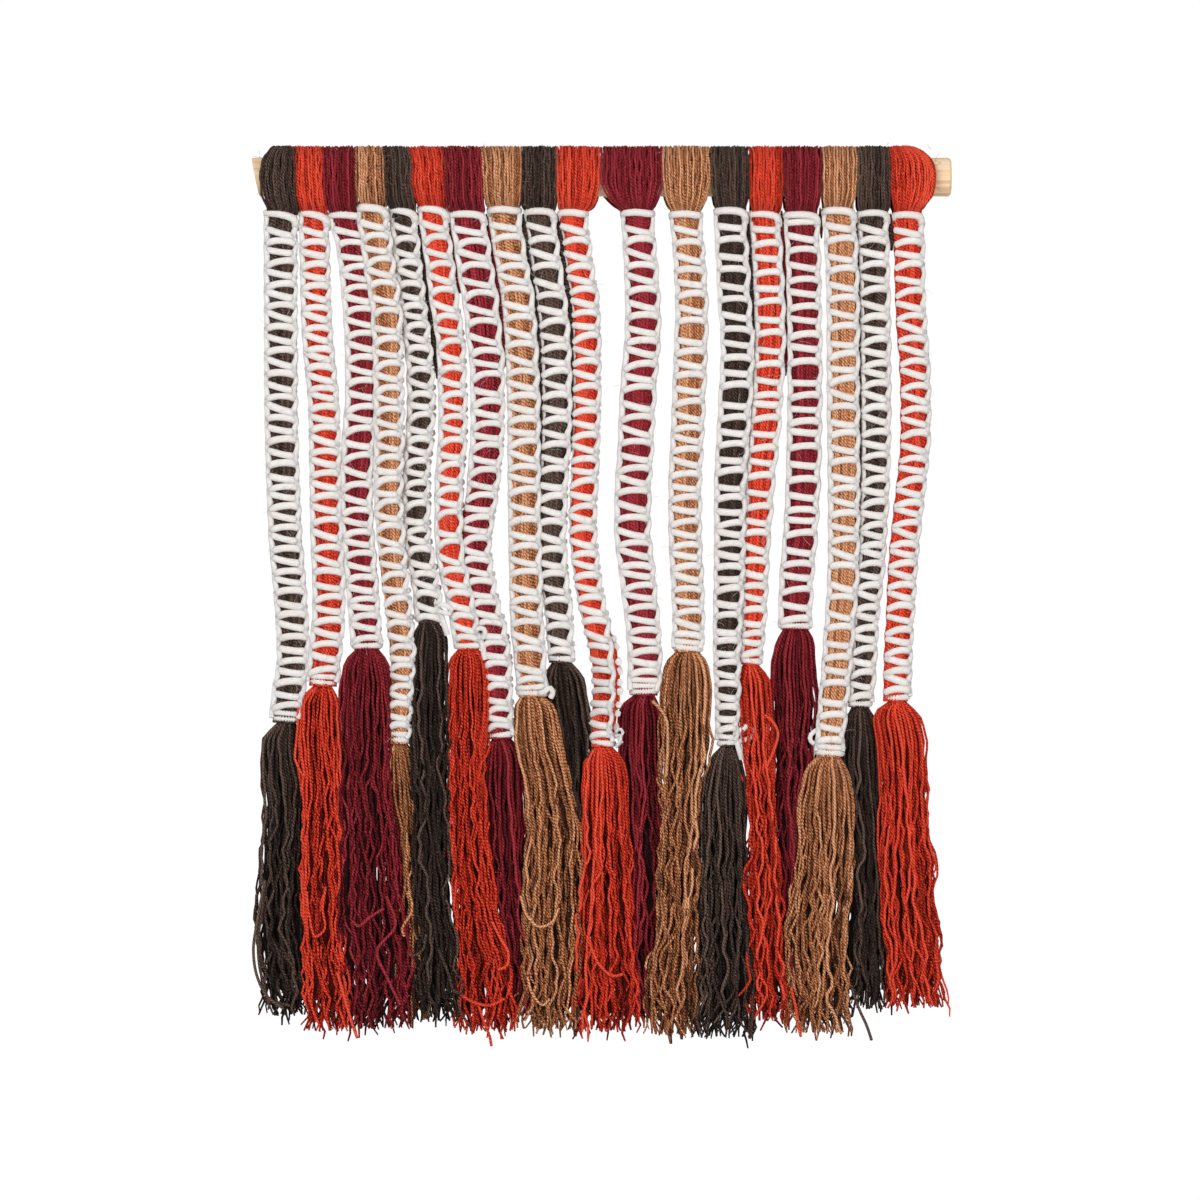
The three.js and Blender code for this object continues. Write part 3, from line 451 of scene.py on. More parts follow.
def pineMaterial(name, colours):
    material, tree, surface = newMaterial(name, pineFinish)
    where = addNode(tree, "ShaderNodeTexCoord")
    along, across = (1 / (pinePattern[size] * mm) for size in ("lineLength", "lineApart"))
    lines = stretchedNoise(tree, where.outputs["Object"], (along, across, across), Detail=4.0, Roughness=0.6,
                           Distortion=0.4)
    dress(tree, surface, pinePattern, colours, lines, lines)
    return material


wool = {yarn: woolMaterial(yarn + " spun wool", colours) for yarn, colours in woolColours.items()}
cotton = cottonMaterial("white cotton roving", cottonColours)
pine = pineMaterial("sanded pine", pineColours)
print("materials made")


# One tree sweeps a round section along every path of a piece: yarn, cord and knots alike.
def sweepTree():
    tree = bpy.data.node_groups.new("sweep yarn along paths", "GeometryNodeTree")
    for label, kind in (("Paths", "Geometry"), ("Sides", "Int"), ("Thickness", "Float"),
                        ("Finish", "Material")):
        tree.interface.new_socket(label, in_out="INPUT", socket_type="NodeSocket" + kind)
    tree.interface.new_socket("Yarn", in_out="OUTPUT", socket_type="NodeSocketGeometry")
    given = addNode(tree, "NodeGroupInput")
    ring = addNode(tree, "GeometryNodeCurvePrimitiveCircle", {"Resolution": given.outputs["Sides"]},
                   {"Radius": 1.0})
    ringPlace = addNode(tree, "GeometryNodeInputPosition")
    ringKept = addNode(tree, "GeometryNodeStoreNamedAttribute",
                       {"Geometry": ring.outputs[0], "Value": ringPlace.outputs[0]}, {"Name": "round"},
                       data_type="FLOAT_VECTOR", domain="POINT")
    path = addNode(tree, "GeometryNodeMeshToCurve", {"Mesh": given.outputs["Paths"]})
    size = addNode(tree, "GeometryNodeInputNamedAttribute", sockets={"Name": "size"})
    scaled = addNode(tree, "ShaderNodeMath", {0: size.outputs[0], 1: given.outputs["Thickness"]},
                     operation="MULTIPLY")
    swept = addNode(tree, "GeometryNodeCurveToMesh",
                    {"Curve": path.outputs[0], "Profile Curve": ringKept.outputs[0],
                     "Scale": scaled.outputs[0]}, {"Fill Caps": True})
    around = addNode(tree, "GeometryNodeInputNamedAttribute", sockets={"Name": "round"},
                     data_type="FLOAT_VECTOR")
    along = addNode(tree, "GeometryNodeInputNamedAttribute", sockets={"Name": "along"})
    split = addNode(tree, "ShaderNodeSeparateXYZ", {"Vector": around.outputs[0]})
    joined = addNode(tree, "ShaderNodeCombineXYZ",
                     {"X": split.outputs["X"], "Y": split.outputs["Y"], "Z": along.outputs[0]})
    grained = addNode(tree, "GeometryNodeStoreNamedAttribute",
                      {"Geometry": swept.outputs[0], "Value": joined.outputs[0]}, {"Name": "grain"},
                      data_type="FLOAT_VECTOR", domain="POINT")
    smooth = addNode(tree, "GeometryNodeSetShadeSmooth", {"Geometry": grained.outputs[0]})
    real = addNode(tree, "GeometryNodeRealizeInstances", {"Geometry": smooth.outputs[0]})
    finished = addNode(tree, "GeometryNodeSetMaterial",
                       {"Geometry": real.outputs[0], "Material": given.outputs["Finish"]})
    out = addNode(tree, "NodeGroupOutput")
    tree.links.new(finished.outputs[0], out.inputs[0])
    return tree


sweep = sweepTree()
grainShift = 37  # mm along the grain between a light yarn and a dark one, so that no two look alike
triangles = {}


def pathMesh(name, paths):
    # Every path is a chain of edges, with its size, tone and length so far kept at its points.
    points, edges, kept, start = [], [], {"size": [], "tone": [], "along": []}, 0
    for place, radius, shade, closed in paths:
        n = len(place)
        points.append(np.asarray(place) * mm)
        chain = np.arange(start, start + n)
        edges.append(np.c_[chain, np.roll(chain, -1)][:n if closed else n - 1])
        kept["size"].append(np.broadcast_to(radius, n) * mm)
        kept["tone"].append(np.full(n, shade))
        step = np.linalg.norm(np.diff(place, axis=0), axis=1)
        kept["along"].append(np.r_[0, np.cumsum(step)] + grainShift * shade)
        start += n
    mesh = bpy.data.meshes.new(name)
    points, edges = np.concatenate(points), np.concatenate(edges)
    mesh.vertices.add(len(points))
    mesh.vertices.foreach_set("co", points.ravel())
    mesh.edges.add(len(edges))
    mesh.edges.foreach_set("vertices", edges.ravel())
    for label, values in kept.items():
        mesh.attributes.new(label, "FLOAT", "POINT").data.foreach_set("value", np.concatenate(values))
    return mesh


def sweptMesh(name, paths, sides, finish):
    mesh = pathMesh(name, paths)
    holder = bpy.data.objects.new(name, mesh)
    scene.collection.objects.link(holder)
    modifier = holder.modifiers.new("sweep", "NODES")
    modifier.node_group = sweep
    given = {"Sides": sides, "Thickness": 1.0, "Finish": finish}
    for socket in sweep.interface.items_tree:
        if socket.in_out == "INPUT" and socket.name in given:
            modifier[socket.identifier] = given[socket.name]
    graph = bpy.context.evaluated_depsgraph_get()
    made = bpy.data.meshes.new_from_object(holder.evaluated_get(graph), preserve_all_data_layers=True,
                                           depsgraph=graph)
    bpy.data.objects.remove(holder)
    bpy.data.meshes.remove(mesh)
    return made


def makePiece(name, groups, finish):
    # groups: (sides, paths), a path being (points in mm, radius in mm, tone, closed).
    made = [sweptMesh(name, paths, sides, finish) for sides, paths in groups if paths]
    piece, *others = [bpy.data.objects.new(name, mesh) for mesh in made]
    for item in (piece, *others):
        scene.collection.objects.link(item)
    if others:
        with bpy.context.temp_override(active_object=piece, selected_editable_objects=[piece, *others]):
            bpy.ops.object.join()
    piece.data.name = name
    triangles[name] = sum(len(face.vertices) - 2 for face in piece.data.polygons)
    return piece


def keyed(table, z, column=1):
    # A value from a table of heights, which run downwards.
    return np.interp(-np.asarray(z, float), [-row[0] for row in table], [row[column] for row in table])


def ease(t):
    t = np.clip(t, 0, 1)
    return t * t * (3 - 2 * t)


def through(points, step):
    # A smooth curve through the points, in even steps.
    points = np.asarray(points, float)
    span = np.r_[0, np.cumsum(np.linalg.norm(np.diff(points, axis=0), axis=1))]
    slope = np.gradient(points, span, axis=0)
    at = np.linspace(0, span[-1], max(3, round(span[-1] / step) + 1))
    i = np.clip(np.searchsorted(span, at, "right") - 1, 0, len(span) - 2)
    reach = (span[i + 1] - span[i])[:, None]
    t = (at - span[i])[:, None] / reach
    return ((2 * t**3 - 3 * t**2 + 1) * points[i] + (t**3 - 2 * t**2 + t) * slope[i] * reach
            + (3 * t**2 - 2 * t**3) * points[i + 1] + (t**3 - t**2) * slope[i + 1] * reach)


def wander(rng, s, size, lengths):
    # A slow sideways drift along a yarn, as a sum of waves.
    drift = np.zeros_like(s, dtype=float)
    for length in lengths:
        drift += np.sin(s * 2 * math.pi / length + rng.uniform(0, 2 * math.pi)) * rng.uniform(0.4, 1)
    return drift * size / len(lengths)


# The middle line of each strand and its lean, smoothed, at every mm of height.
lineSet = {"smoothing": 15, "lowest": -600, "turnPower": 0.7}
lineHeights = np.arange(0, lineSet["lowest"], -1.0)
bell = np.hanning(2 * lineSet["smoothing"] + 1)
for strand in strands:
    rough = np.pad(keyed(strand["line"], lineHeights), lineSet["smoothing"] - 1, mode="edge")
    strand["middle"] = np.convolve(rough, bell[1:-1] / bell.sum(), "valid")
    strand["lean"] = np.gradient(strand["middle"], lineHeights)
    strand["top"], strand["end"] = strand["line"][0][0], strand["line"][-1][0]


def lineAt(strand, key, z):
    return np.interp(-np.asarray(z, float), -lineHeights, strand[key])


def place(strand, across, depth, z):
    # From a strand's own section to the frame: it follows the middle line, its lean and its turn.
    across, depth, z = np.broadcast_arrays(across, depth, np.asarray(z, float))
    turn = np.radians(keyed(strand["turn"], z))
    lean = lineAt(strand, "lean", z)
    norm = np.sqrt(1 + lean**2)
    side = across * np.cos(turn) + depth * np.sin(turn)
    deep = depth * np.cos(turn) - across * np.sin(turn)
    x = lineAt(strand, "middle", z) + side / norm
    return np.stack([x, deep + strand["lift"], z - side * lean / norm], -1)


def halfWidth(strand, z):
    # A twisted strand shows less than its true width.
    turn = np.radians(keyed(strand["turn"], z))
    return keyed(strand["width"], z) / 2 / np.cos(turn) ** lineSet["turnPower"]


def leftHidden(strand, z):
    # How much of the left edge cord lies hidden behind the wool, in mm.
    return edgeShown - keyed(strand["leftSeen"], z)


# Hank: yarn laid over the dowel, with thick yarn under it that closes the loops to the light. That yarn's low
# tone is painted shade, which shows dark between the yarns on top.
hankSizes = {"yarn": 0.84, "spacing": 1.7, "fewest": 9, "step": 3.8, "sides": 4, "dowelRadius": 12.7,
             "bulge": 7.3, "edgeSink": 0.06, "overhang": 0.9, "sway": 0.75, "swayLengths": (13, 21, 34),
             "unevenPlace": 0.22, "unevenRadius": (-0.45, 0.15), "stray": 0.3,
             "under": 2.5, "underBulge": 4.9, "underSpacing": 4.4, "underFewest": 4, "underInset": 2.8,
             "underSink": 1.8, "underRise": 2, "underShadeTone": -0.35, "firstWrap": 2.6, "neckInset": 1.6,
             "neckDepth": 5.6, "neckRound": 2.2}
hankArc = (-20, -4, 12, 30, 50, 70, 90, 110, 130, 150, 168, 184, 200)  # degrees over the dowel from the front


def headPaths(strand, rng):
    (topL, topR), (midL, midR), (lowL, lowR) = strand["head"]
    wide = midR - midL
    wrapZ = strand["top"] - hankSizes["firstWrap"]
    neck = place(strand, 0, 0, wrapZ)[0]
    neckHalf = halfWidth(strand, wrapZ) - hankSizes["neckInset"]
    count = max(hankSizes["fewest"], round(wide / hankSizes["spacing"]))
    lay = [((k + 0.5) / count * 2 - 1, False) for k in range(count)]
    reach = 1 - 2 * hankSizes["underInset"] / wide
    underCount = max(hankSizes["underFewest"], round(wide / hankSizes["underSpacing"]))
    lay += [(share, True) for share in np.linspace(-reach, reach, underCount)]
    paths = []
    for share, under in lay:
        s = share + (0 if under else rng.uniform(-1, 1) * hankSizes["unevenPlace"] / count)
        yarn, bulge = (hankSizes[key] for key in (("under", "underBulge") if under else ("yarn", "bulge")))
        top, mid, low = ((left + right) / 2 + ((right - left) / 2 + hankSizes["overhang"] - yarn) * s
                         for left, right in ((topL, topR), (midL, midR), (lowL, lowR)))
        radius = hankSizes["dowelRadius"] + bulge * (1 - hankSizes["edgeSink"] * abs(s) ** 5)
        radius += rng.uniform(*hankSizes["unevenRadius"])
        sink, lift = (hankSizes["underSink"], hankSizes["underRise"]) if under else (0, 0)
        depth = hankSizes["neckDepth"] - hankSizes["neckRound"] * s**4 - sink
        rise = wrapZ + lift
        root = neck + s * neckHalf
        # The yarns stay spread until just above the wrap, then draw in quickly.
        front = [(root, -depth + 0.8, wrapZ - 4), (root, -depth - 0.2, wrapZ),
                 (root * 0.2 + low * 0.8, -depth - 3.6, rise + 3.4),
                 (low * 0.62 + mid * 0.38, -radius * 0.72, rise + 7),
                 (low * 0.26 + mid * 0.74, -radius * 0.87, rise + 12)]
        back = [(x, -y, z) for x, y, z in reversed(front)]
        arc = []
        for a in np.radians(hankArc):
            x = mid + (top - mid) * max(0, math.sin(a)) ** 2.5 + (low - mid) * 0.2 * max(0, -math.sin(a))
            stray = 0 if under else rng.uniform(-1, 1) * hankSizes["stray"]
            arc.append((x + stray, -radius * math.cos(a), radius * math.sin(a)))
        points = through(front + arc + back, hankSizes["step"])
        if not under:
            along = np.arange(len(points)) * hankSizes["step"]
            points[:, 0] += wander(rng, along, hankSizes["sway"], hankSizes["swayLengths"])
        # Under yarns take a low tone: painted shade in the gaps between the yarns on top.
        paths.append((points, yarn, hankSizes["underShadeTone"] if under else rng.uniform(0, 1), False))
    return paths


# Core: the hank's yarns inside the knotted cord. They swell in each window and are drawn in under each pair
# of bars. Angles are in degrees round the strand, and -90 is its front.
coreSizes = {"yarn": 1.12, "spacing": 1.6, "inset": 3.3, "depth": 5.7, "puff": 0.05, "front": (-190, 10),
             "back": (30, 150), "backShare": 0.5, "hiddenShare": 0.85, "fill": 3.6, "fillShadeTone": -0.4,
             "slitShadeTone": 0.2, "slitDepths": (-0.5, 3.0), "slitStep": 4, "slitEase": 14, "slitMost": 4.8}


def corePaths(strand, rows, rng):
    heights = np.array([row["z"] for row in rows])
    windows = (heights[1:] + heights[:-1]) / 2
    z = np.sort(np.r_[strand["top"] + 1, heights, windows, heights[0] + 9, strand["end"] - 1])[::-1]
    puff = np.where(np.isin(z, heights), 1 - coreSizes["puff"], 1 + coreSizes["puff"])
    wide = (halfWidth(strand, z) - coreSizes["inset"]) * puff
    deep = coreSizes["depth"] * puff
    hidden = leftHidden(strand, z) * coreSizes["hiddenShare"]
    frontCount = round(2.6 * wide.mean() / coreSizes["spacing"] + 4)
    angles = np.r_[np.linspace(*coreSizes["front"], frontCount),
                   np.linspace(*coreSizes["back"], round(frontCount * coreSizes["backShare"]))]
    drift = wander(rng, z, 0.2, (40, 70))
    paths = []
    for angle in np.radians(angles):
        angle = angle + rng.uniform(-0.03, 0.03) + drift + wander(rng, z, 0.05, (30, 50))
        swell = 1 + wander(rng, z, 0.05, (30, 55))
        across = (wide + hidden / 2) * swell * np.cos(angle) - hidden / 2
        points = place(strand, across, deep * swell * np.sin(angle), z)
        paths.append((points, coreSizes["yarn"], rng.uniform(0, 1), False))
    # Yarn deep inside the hank closes it to the light. Its low tone is painted shade, dark in the gaps
    # between the outer yarns.
    radius = np.minimum(coreSizes["fill"], wide * 0.6)
    for share in (-1, 0, 1):
        points = place(strand, share * (wide - radius) * 0.9, 0, z)
        paths.append((points, radius, coreSizes["fillShadeTone"], False))
    return paths


def slitShadePaths(number, strand, rng):
    # Where two strands touch, yarn at the back closes the slit between them. With its low tone it is painted
    # shade: a dark stand-in for the shadow in the slit.
    paths = []
    for side, top, end in strand["touch"]:
        z = np.arange(top, end - coreSizes["slitStep"], -float(coreSizes["slitStep"]))
        other = strands[number - 1 + side]
        near, far = (lineAt(one, "middle", z) + way * keyed(one["width"], z) / 2
                     for one, way in ((strand, side), (other, -side)))
        slit = side * (far - near)
        ends = ease((top + 2 - z) / coreSizes["slitEase"])
        ends = ends * ease((z - end + coreSizes["slitStep"]) / coreSizes["slitEase"])
        radius = 0.3 + ends * np.clip(slit / 2 + 0.6, 0.5, 1.8) * ease(coreSizes["slitMost"] - slit)
        for depth in coreSizes["slitDepths"]:
            x = (near + far) / 2 + wander(rng, z, 0.4, (22, 40))
            points = np.stack([x, np.full_like(z, depth), z], -1)
            paths.append((points, radius, coreSizes["slitShadeTone"], False))
    return paths


# Knotted cord. Pairs of bars cross the front between two edge cords, close at the right and open at the left.
# The lower bar of a pair is bowed and its left end turns down. Plain bars cross the back, and wraps close the
# ends. A value in brackets is for the left and the right edge.
knotSizes = {"thick": 5.2, "barRadius": 2.5, "flareRadius": 2.32, "barDepth": 6.1, "endDepth": 2.2,
             "bow": 0.3, "rightTurn": 1.0, "flareShift": 3, "barSteps": 10, "sides": 7, "backSteps": 5,
             "backSides": 6, "edgeRadius": (1.7, 1.9), "edgeDepth": 3.9, "edgeSwing": 0.6, "edgeStep": 2.4,
             "edgeSides": 6, "edgeSwell": 0.16, "wave": (0.5, 0.95), "firstWindow": 8.6, "firstBar": 1.1,
             "wideReach": 6, "unevenGap": 0.7, "unevenPitch": 0.09, "unevenFall": 0.9}


def pairRows(strand, rng):
    # A pair's middle height, its gap at the left and right end, and how far it falls to the right.
    thick = knotSizes["thick"]
    top = strand["top"] - hankSizes["firstWrap"]
    first = top - knotSizes["firstWindow"] - thick * knotSizes["firstBar"] - strand["firstBand"]
    stop = strand["end"] + (strand["wraps"] + 0.3) * wrapSizes["pitch"] + thick
    heights = [first]
    while heights[-1] > stop:
        pitch = keyed(strand["pattern"], heights[-1], 1) * (1 + rng.normal(0, knotSizes["unevenPitch"]))
        for z, extra in strand["wide"]:
            pitch += extra * math.exp(-((heights[-1] - 7 - z) / knotSizes["wideReach"]) ** 2)
        heights.append(heights[-1] - pitch)
    # The pitch is eased so that the last pair sits on the last wraps.
    last = heights[-1] if stop - heights[-1] < heights[-2] - stop else heights[-2]
    rows = []
    for height in heights:
        if height < last:
            break
        z = first + (height - first) * (stop - first) / (last - first)
        gapLeft, gapRight, fall = (float(keyed(strand["pattern"], z, column)) for column in (2, 3, 4))
        uneven = rng.normal(0, knotSizes["unevenGap"])
        rows.append({"z": z, "gapLeft": gapLeft + uneven, "gapRight": gapRight + uneven * 0.5,
                     "fall": fall + rng.normal(0, knotSizes["unevenFall"])})
    return rows


def barPath(strand, row, lower, front, rng):
    # front is -1 for the front and 1 for the back. t runs from the bar's left end to its right end.
    t = np.linspace(0, 1, knotSizes["barSteps"] if front < 0 else knotSizes["backSteps"])
    gap = row["gapRight"] + (row["gapLeft"] - row["gapRight"]) * (1 - t) ** 1.5
    apart = (knotSizes["thick"] + gap) / 2
    # The fall is measured against the level, so the strand's own lean is taken off it.
    fall = row["fall"] - 2 * halfWidth(strand, row["z"]) * lineAt(strand, "lean", row["z"])
    z = row["z"] + fall * (0.5 - t) + (-apart if lower else apart)
    if lower:
        turned = strand["corner"] * rng.uniform(0.75, 1.2) * np.maximum(0, 1 - t / 0.42) ** 1.7
        z = z + knotSizes["bow"] * rng.uniform(0.3, 1.6) * 4 * t * (1 - t) - turned
    bent = knotSizes["rightTurn"] * np.maximum(0, (t - 0.75) / 0.25) ** 1.7
    z = z - bent if lower else z + bent * 0.5
    flare = strand["flare"]
    edgeLeft, edgeRight = knotSizes["edgeRadius"]
    edgeLeft = edgeLeft + knotSizes["flareShift"] * flare
    half = halfWidth(strand, z)
    across = -half + edgeLeft + (2 * half - edgeLeft - edgeRight) * t
    swell = 1 - np.abs(2 * t - 1) ** 3
    depth = front * (knotSizes["endDepth"] + (knotSizes["barDepth"] - knotSizes["endDepth"]) * swell)
    # Where a strand's left ends flare, the bars are a little thinner in their middle.
    radius = (knotSizes["flareRadius"] if flare else knotSizes["barRadius"]) * rng.uniform(0.92, 1.06)
    radius = radius * (1 + flare * np.maximum(0, 1 - t / 0.45) ** 1.4)
    return place(strand, across, depth, z), radius, rng.uniform(0, 1), False


def edgePaths(strand, rows, rng):
    # Each edge cord bellies out beside every window and is drawn in at every pair of bars.
    z = np.arange(strand["top"] - 2.5, strand["end"] + 1.0, -knotSizes["edgeStep"])
    middles = np.array([row["z"] for row in rows])
    pitch = keyed(strand["pattern"], z, 1)
    count = np.interp(-z, -middles, np.arange(len(rows)))
    count = count + np.where(z > middles[0], (middles[0] - z) / pitch, 0)
    count = count + np.where(z < middles[-1], (middles[-1] - z) / pitch, 0)
    hidden = leftHidden(strand, z)
    paths = []
    for side, radius, wave in zip((-1, 1), knotSizes["edgeRadius"], knotSizes["wave"]):
        phase = 2 * math.pi * count + side * 0.35 + wander(rng, z, 0.8, (35, 60))
        across = side * (halfWidth(strand, z) - radius - wave * strand["wave"] * np.cos(phase))
        depth = -knotSizes["edgeDepth"] - knotSizes["edgeSwing"] * np.cos(phase + 0.9)
        if side < 0:
            across, depth = across + 0.1 * hidden, depth + 1.5 * hidden
        thick = radius * (1 + knotSizes["edgeSwell"] * np.cos(phase)) * rng.uniform(0.95, 1.05)
        paths.append((place(strand, across, depth, z), thick, rng.uniform(0, 1), False))
    return paths


# Wraps: the closing turns at the bottom, and the first wrap, an arch that turns down into the right edge.
wrapSizes = {"radius": 2.2, "pitch": 3.7, "depth": 6.0, "lastDepth": 5.1, "lastFlare": 0.6,
             "bandRadius": 2.42, "archRadius": 2.7, "archStep": 2.4, "sides": 8}


def wrapPaths(strand, rng):
    paths = []
    angle = np.linspace(0, 2 * math.pi, 24, endpoint=False)
    for k in range(strand["wraps"]):
        z = strand["end"] + wrapSizes["pitch"] * (k + 0.45)
        half = strand["wrapWidth"] / 2 + wrapSizes["lastFlare"] * k - 0.4
        tilt = rng.uniform(-0.7, 0.7)
        points = place(strand, half * np.cos(angle), wrapSizes["lastDepth"] * np.sin(angle),
                       z + tilt * np.cos(angle))
        paths.append((points, wrapSizes["radius"], rng.uniform(0, 1), True))
    z = strand["top"] - hankSizes["firstWrap"]
    half = halfWidth(strand, z) - 1.7
    fall = strand["firstFall"] - 2 * half * lineAt(strand, "lean", z)
    if strand["firstBand"]:
        points = place(strand, half * np.cos(angle), wrapSizes["depth"] * np.sin(angle),
                       z - strand["firstBand"])
        paths.append((points, wrapSizes["bandRadius"], rng.uniform(0, 1), True))
    # A point of the arch: how far across as a share of the half width, how deep and how much higher.
    down = strand["firstTurn"]
    arch = [(-0.92, 2.0, -1.6), (-0.98, 3.6, 0), (-0.7, 6.3, 0.5), (-0.3, 7.4, 0.7), (0.2, 7.4, 0.6),
            (0.6, 6.6, 0.2 * down), (0.93, 4.8, -1.2 * down), (1.02, 1.8 + 1.8 * down, -3.6 * down),
            (0.95 + 0.05 * down, 2.6 * down - 0.8, -6.5 * down)]
    for front in (-1, 1):
        smooth = through([(t * half, front * deep, z + rise - fall * t / 2) for t, deep, rise in arch],
                         wrapSizes["archStep"])
        paths.append((place(strand, *smooth.T), wrapSizes["archRadius"], rng.uniform(0, 1), False))
    return paths


# Tassel: yarn ends below the last wrap. They spread to the measured sides, wander, cross and end unevenly.
tasselSizes = {"yarn": 0.98, "perMm": 2.3, "step": 5.2, "sides": 4, "rootRise": 4, "rootDepth": 4.6,
               "rootInset": 1.8, "spread": 1.6, "layerShare": 0.62, "depth": 7.6, "openLength": 34,
               "drift": 0.4, "wander": 3.2, "kink": 1.7, "unevenEnd": 17, "longEnd": 7, "longShare": 0.08,
               "tipLength": 16, "tipBend": 3.2, "tipThin": 0.62, "curl": 2.2, "curlLength": 95,
               "innerPaintedShade": 1.05}
# Thick yarns in the middle stand for the many inner ends. Their very low tone is painted shade: the dark
# depth between the ends.
tasselFill = {"count": 6, "radius": 2.5, "inset": 4.7, "rise": 11, "thin": 0.35, "step": 10, "tone": -1.2}


def tasselPaths(strand, layerY, rng):
    sizes = tasselSizes
    start, bottom = strand["end"] + sizes["rootRise"], strand["tassel"][-1][0]
    count = round(max(right - left for z, left, right in strand["tassel"]) * sizes["perMm"])
    goldenTurn = 2.39996
    paths = []
    for k in range(count):
        # Each end has its place (u, v) in a disc, wanders to another (u2) and stops at its own height.
        reach = math.sqrt((k + 0.5) / count)
        u, v = reach * math.cos(k * goldenTurn), reach * math.sin(k * goldenTurn)
        u2 = np.clip(u + rng.normal(0, sizes["drift"]), -1, 1)
        end = bottom + rng.uniform(-0.15, 1) ** 2 * sizes["unevenEnd"]
        if rng.uniform() < sizes["longShare"]:
            end = bottom - rng.uniform(0, sizes["longEnd"])
        long = start - end
        z = np.linspace(start, end, max(6, round(long / sizes["step"]) + 1))
        s = start - z
        left, right = keyed(strand["tassel"], z, 1), keyed(strand["tassel"], z, 2)
        root = place(strand, u * (strand["wrapWidth"] / 2 - sizes["rootInset"]), v * sizes["rootDepth"], z)
        x = (left + right) / 2 + (u + (u2 - u) * ease(s / long)) * ((right - left) / 2 + sizes["spread"])
        x = root[:, 0] + (x - root[:, 0]) * ease((s - sizes["rootRise"]) / 9)
        y = layerY + v * sizes["depth"]
        y = root[:, 1] + (y - root[:, 1]) * ease(s / sizes["openLength"])
        free = 0.25 * ease((s - 4) / 15) + 0.75 * ease((s - 15) / 80)
        slack = rng.uniform(0.5, 1.5)
        x = x + (wander(rng, s, sizes["wander"], (44, 70, 120)) + wander(rng, s, sizes["kink"], (17, 26))
                 ) * free * slack
        y = y + (wander(rng, s, sizes["wander"], (45, 80, 130)) + wander(rng, s, sizes["kink"], (19, 28))
                 ) * free * slack
        tip = ease((s - long + sizes["tipLength"]) / sizes["tipLength"])
        x = x + tip * rng.normal(0, sizes["tipBend"])
        y = y + tip * rng.normal(0, sizes["tipBend"])
        curled = ease((s - long + sizes["curlLength"]) / sizes["curlLength"])
        curl = curled * rng.uniform(0.2, 1) * sizes["curl"]
        x = x + curl * np.sin(s * 2 * math.pi / rng.uniform(19, 34) + rng.uniform(0, 6))
        y = y + curl * np.sin(s * 2 * math.pi / rng.uniform(21, 36) + rng.uniform(0, 6))
        radius = sizes["yarn"] * rng.uniform(0.9, 1.08) * (1 - (1 - sizes["tipThin"]) * tip**3)
        # Ends nearer the middle of the tassel get a lower tone: painted shade for its inside.
        shade = rng.uniform(0, 1) - sizes["innerPaintedShade"] * (1 - reach**2)
        paths.append((np.stack([x, y, z], -1), radius, shade, False))
    return paths


def tasselFillPaths(strand, layerY, rng):
    start, bottom = strand["end"] + tasselSizes["rootRise"], strand["tassel"][-1][0]
    z = np.arange(start, bottom + tasselFill["rise"], -float(tasselFill["step"]))
    left, right = keyed(strand["tassel"], z, 1), keyed(strand["tassel"], z, 2)
    opened = ease((start - z) / tasselSizes["openLength"])
    thinned = 1 - tasselFill["thin"] * ease((bottom + 40 - z) / 35)
    radius = tasselFill["radius"] * (0.55 + 0.45 * opened) * thinned
    paths = []
    for share in np.linspace(-1, 1, tasselFill["count"]):
        x = (left + right) / 2 + share * ((right - left) / 2 - tasselFill["inset"]) * (0.6 + 0.4 * opened)
        y = strand["lift"] + (layerY - strand["lift"]) * opened
        points = np.stack([x + wander(rng, z, 0.8, (60, 90)), y + wander(rng, z, 0.8, (60, 90)), z], -1)
        # The low tone paints shade into the middle of the tassel.
        paths.append((points, radius, tasselFill["tone"], False))
    return paths


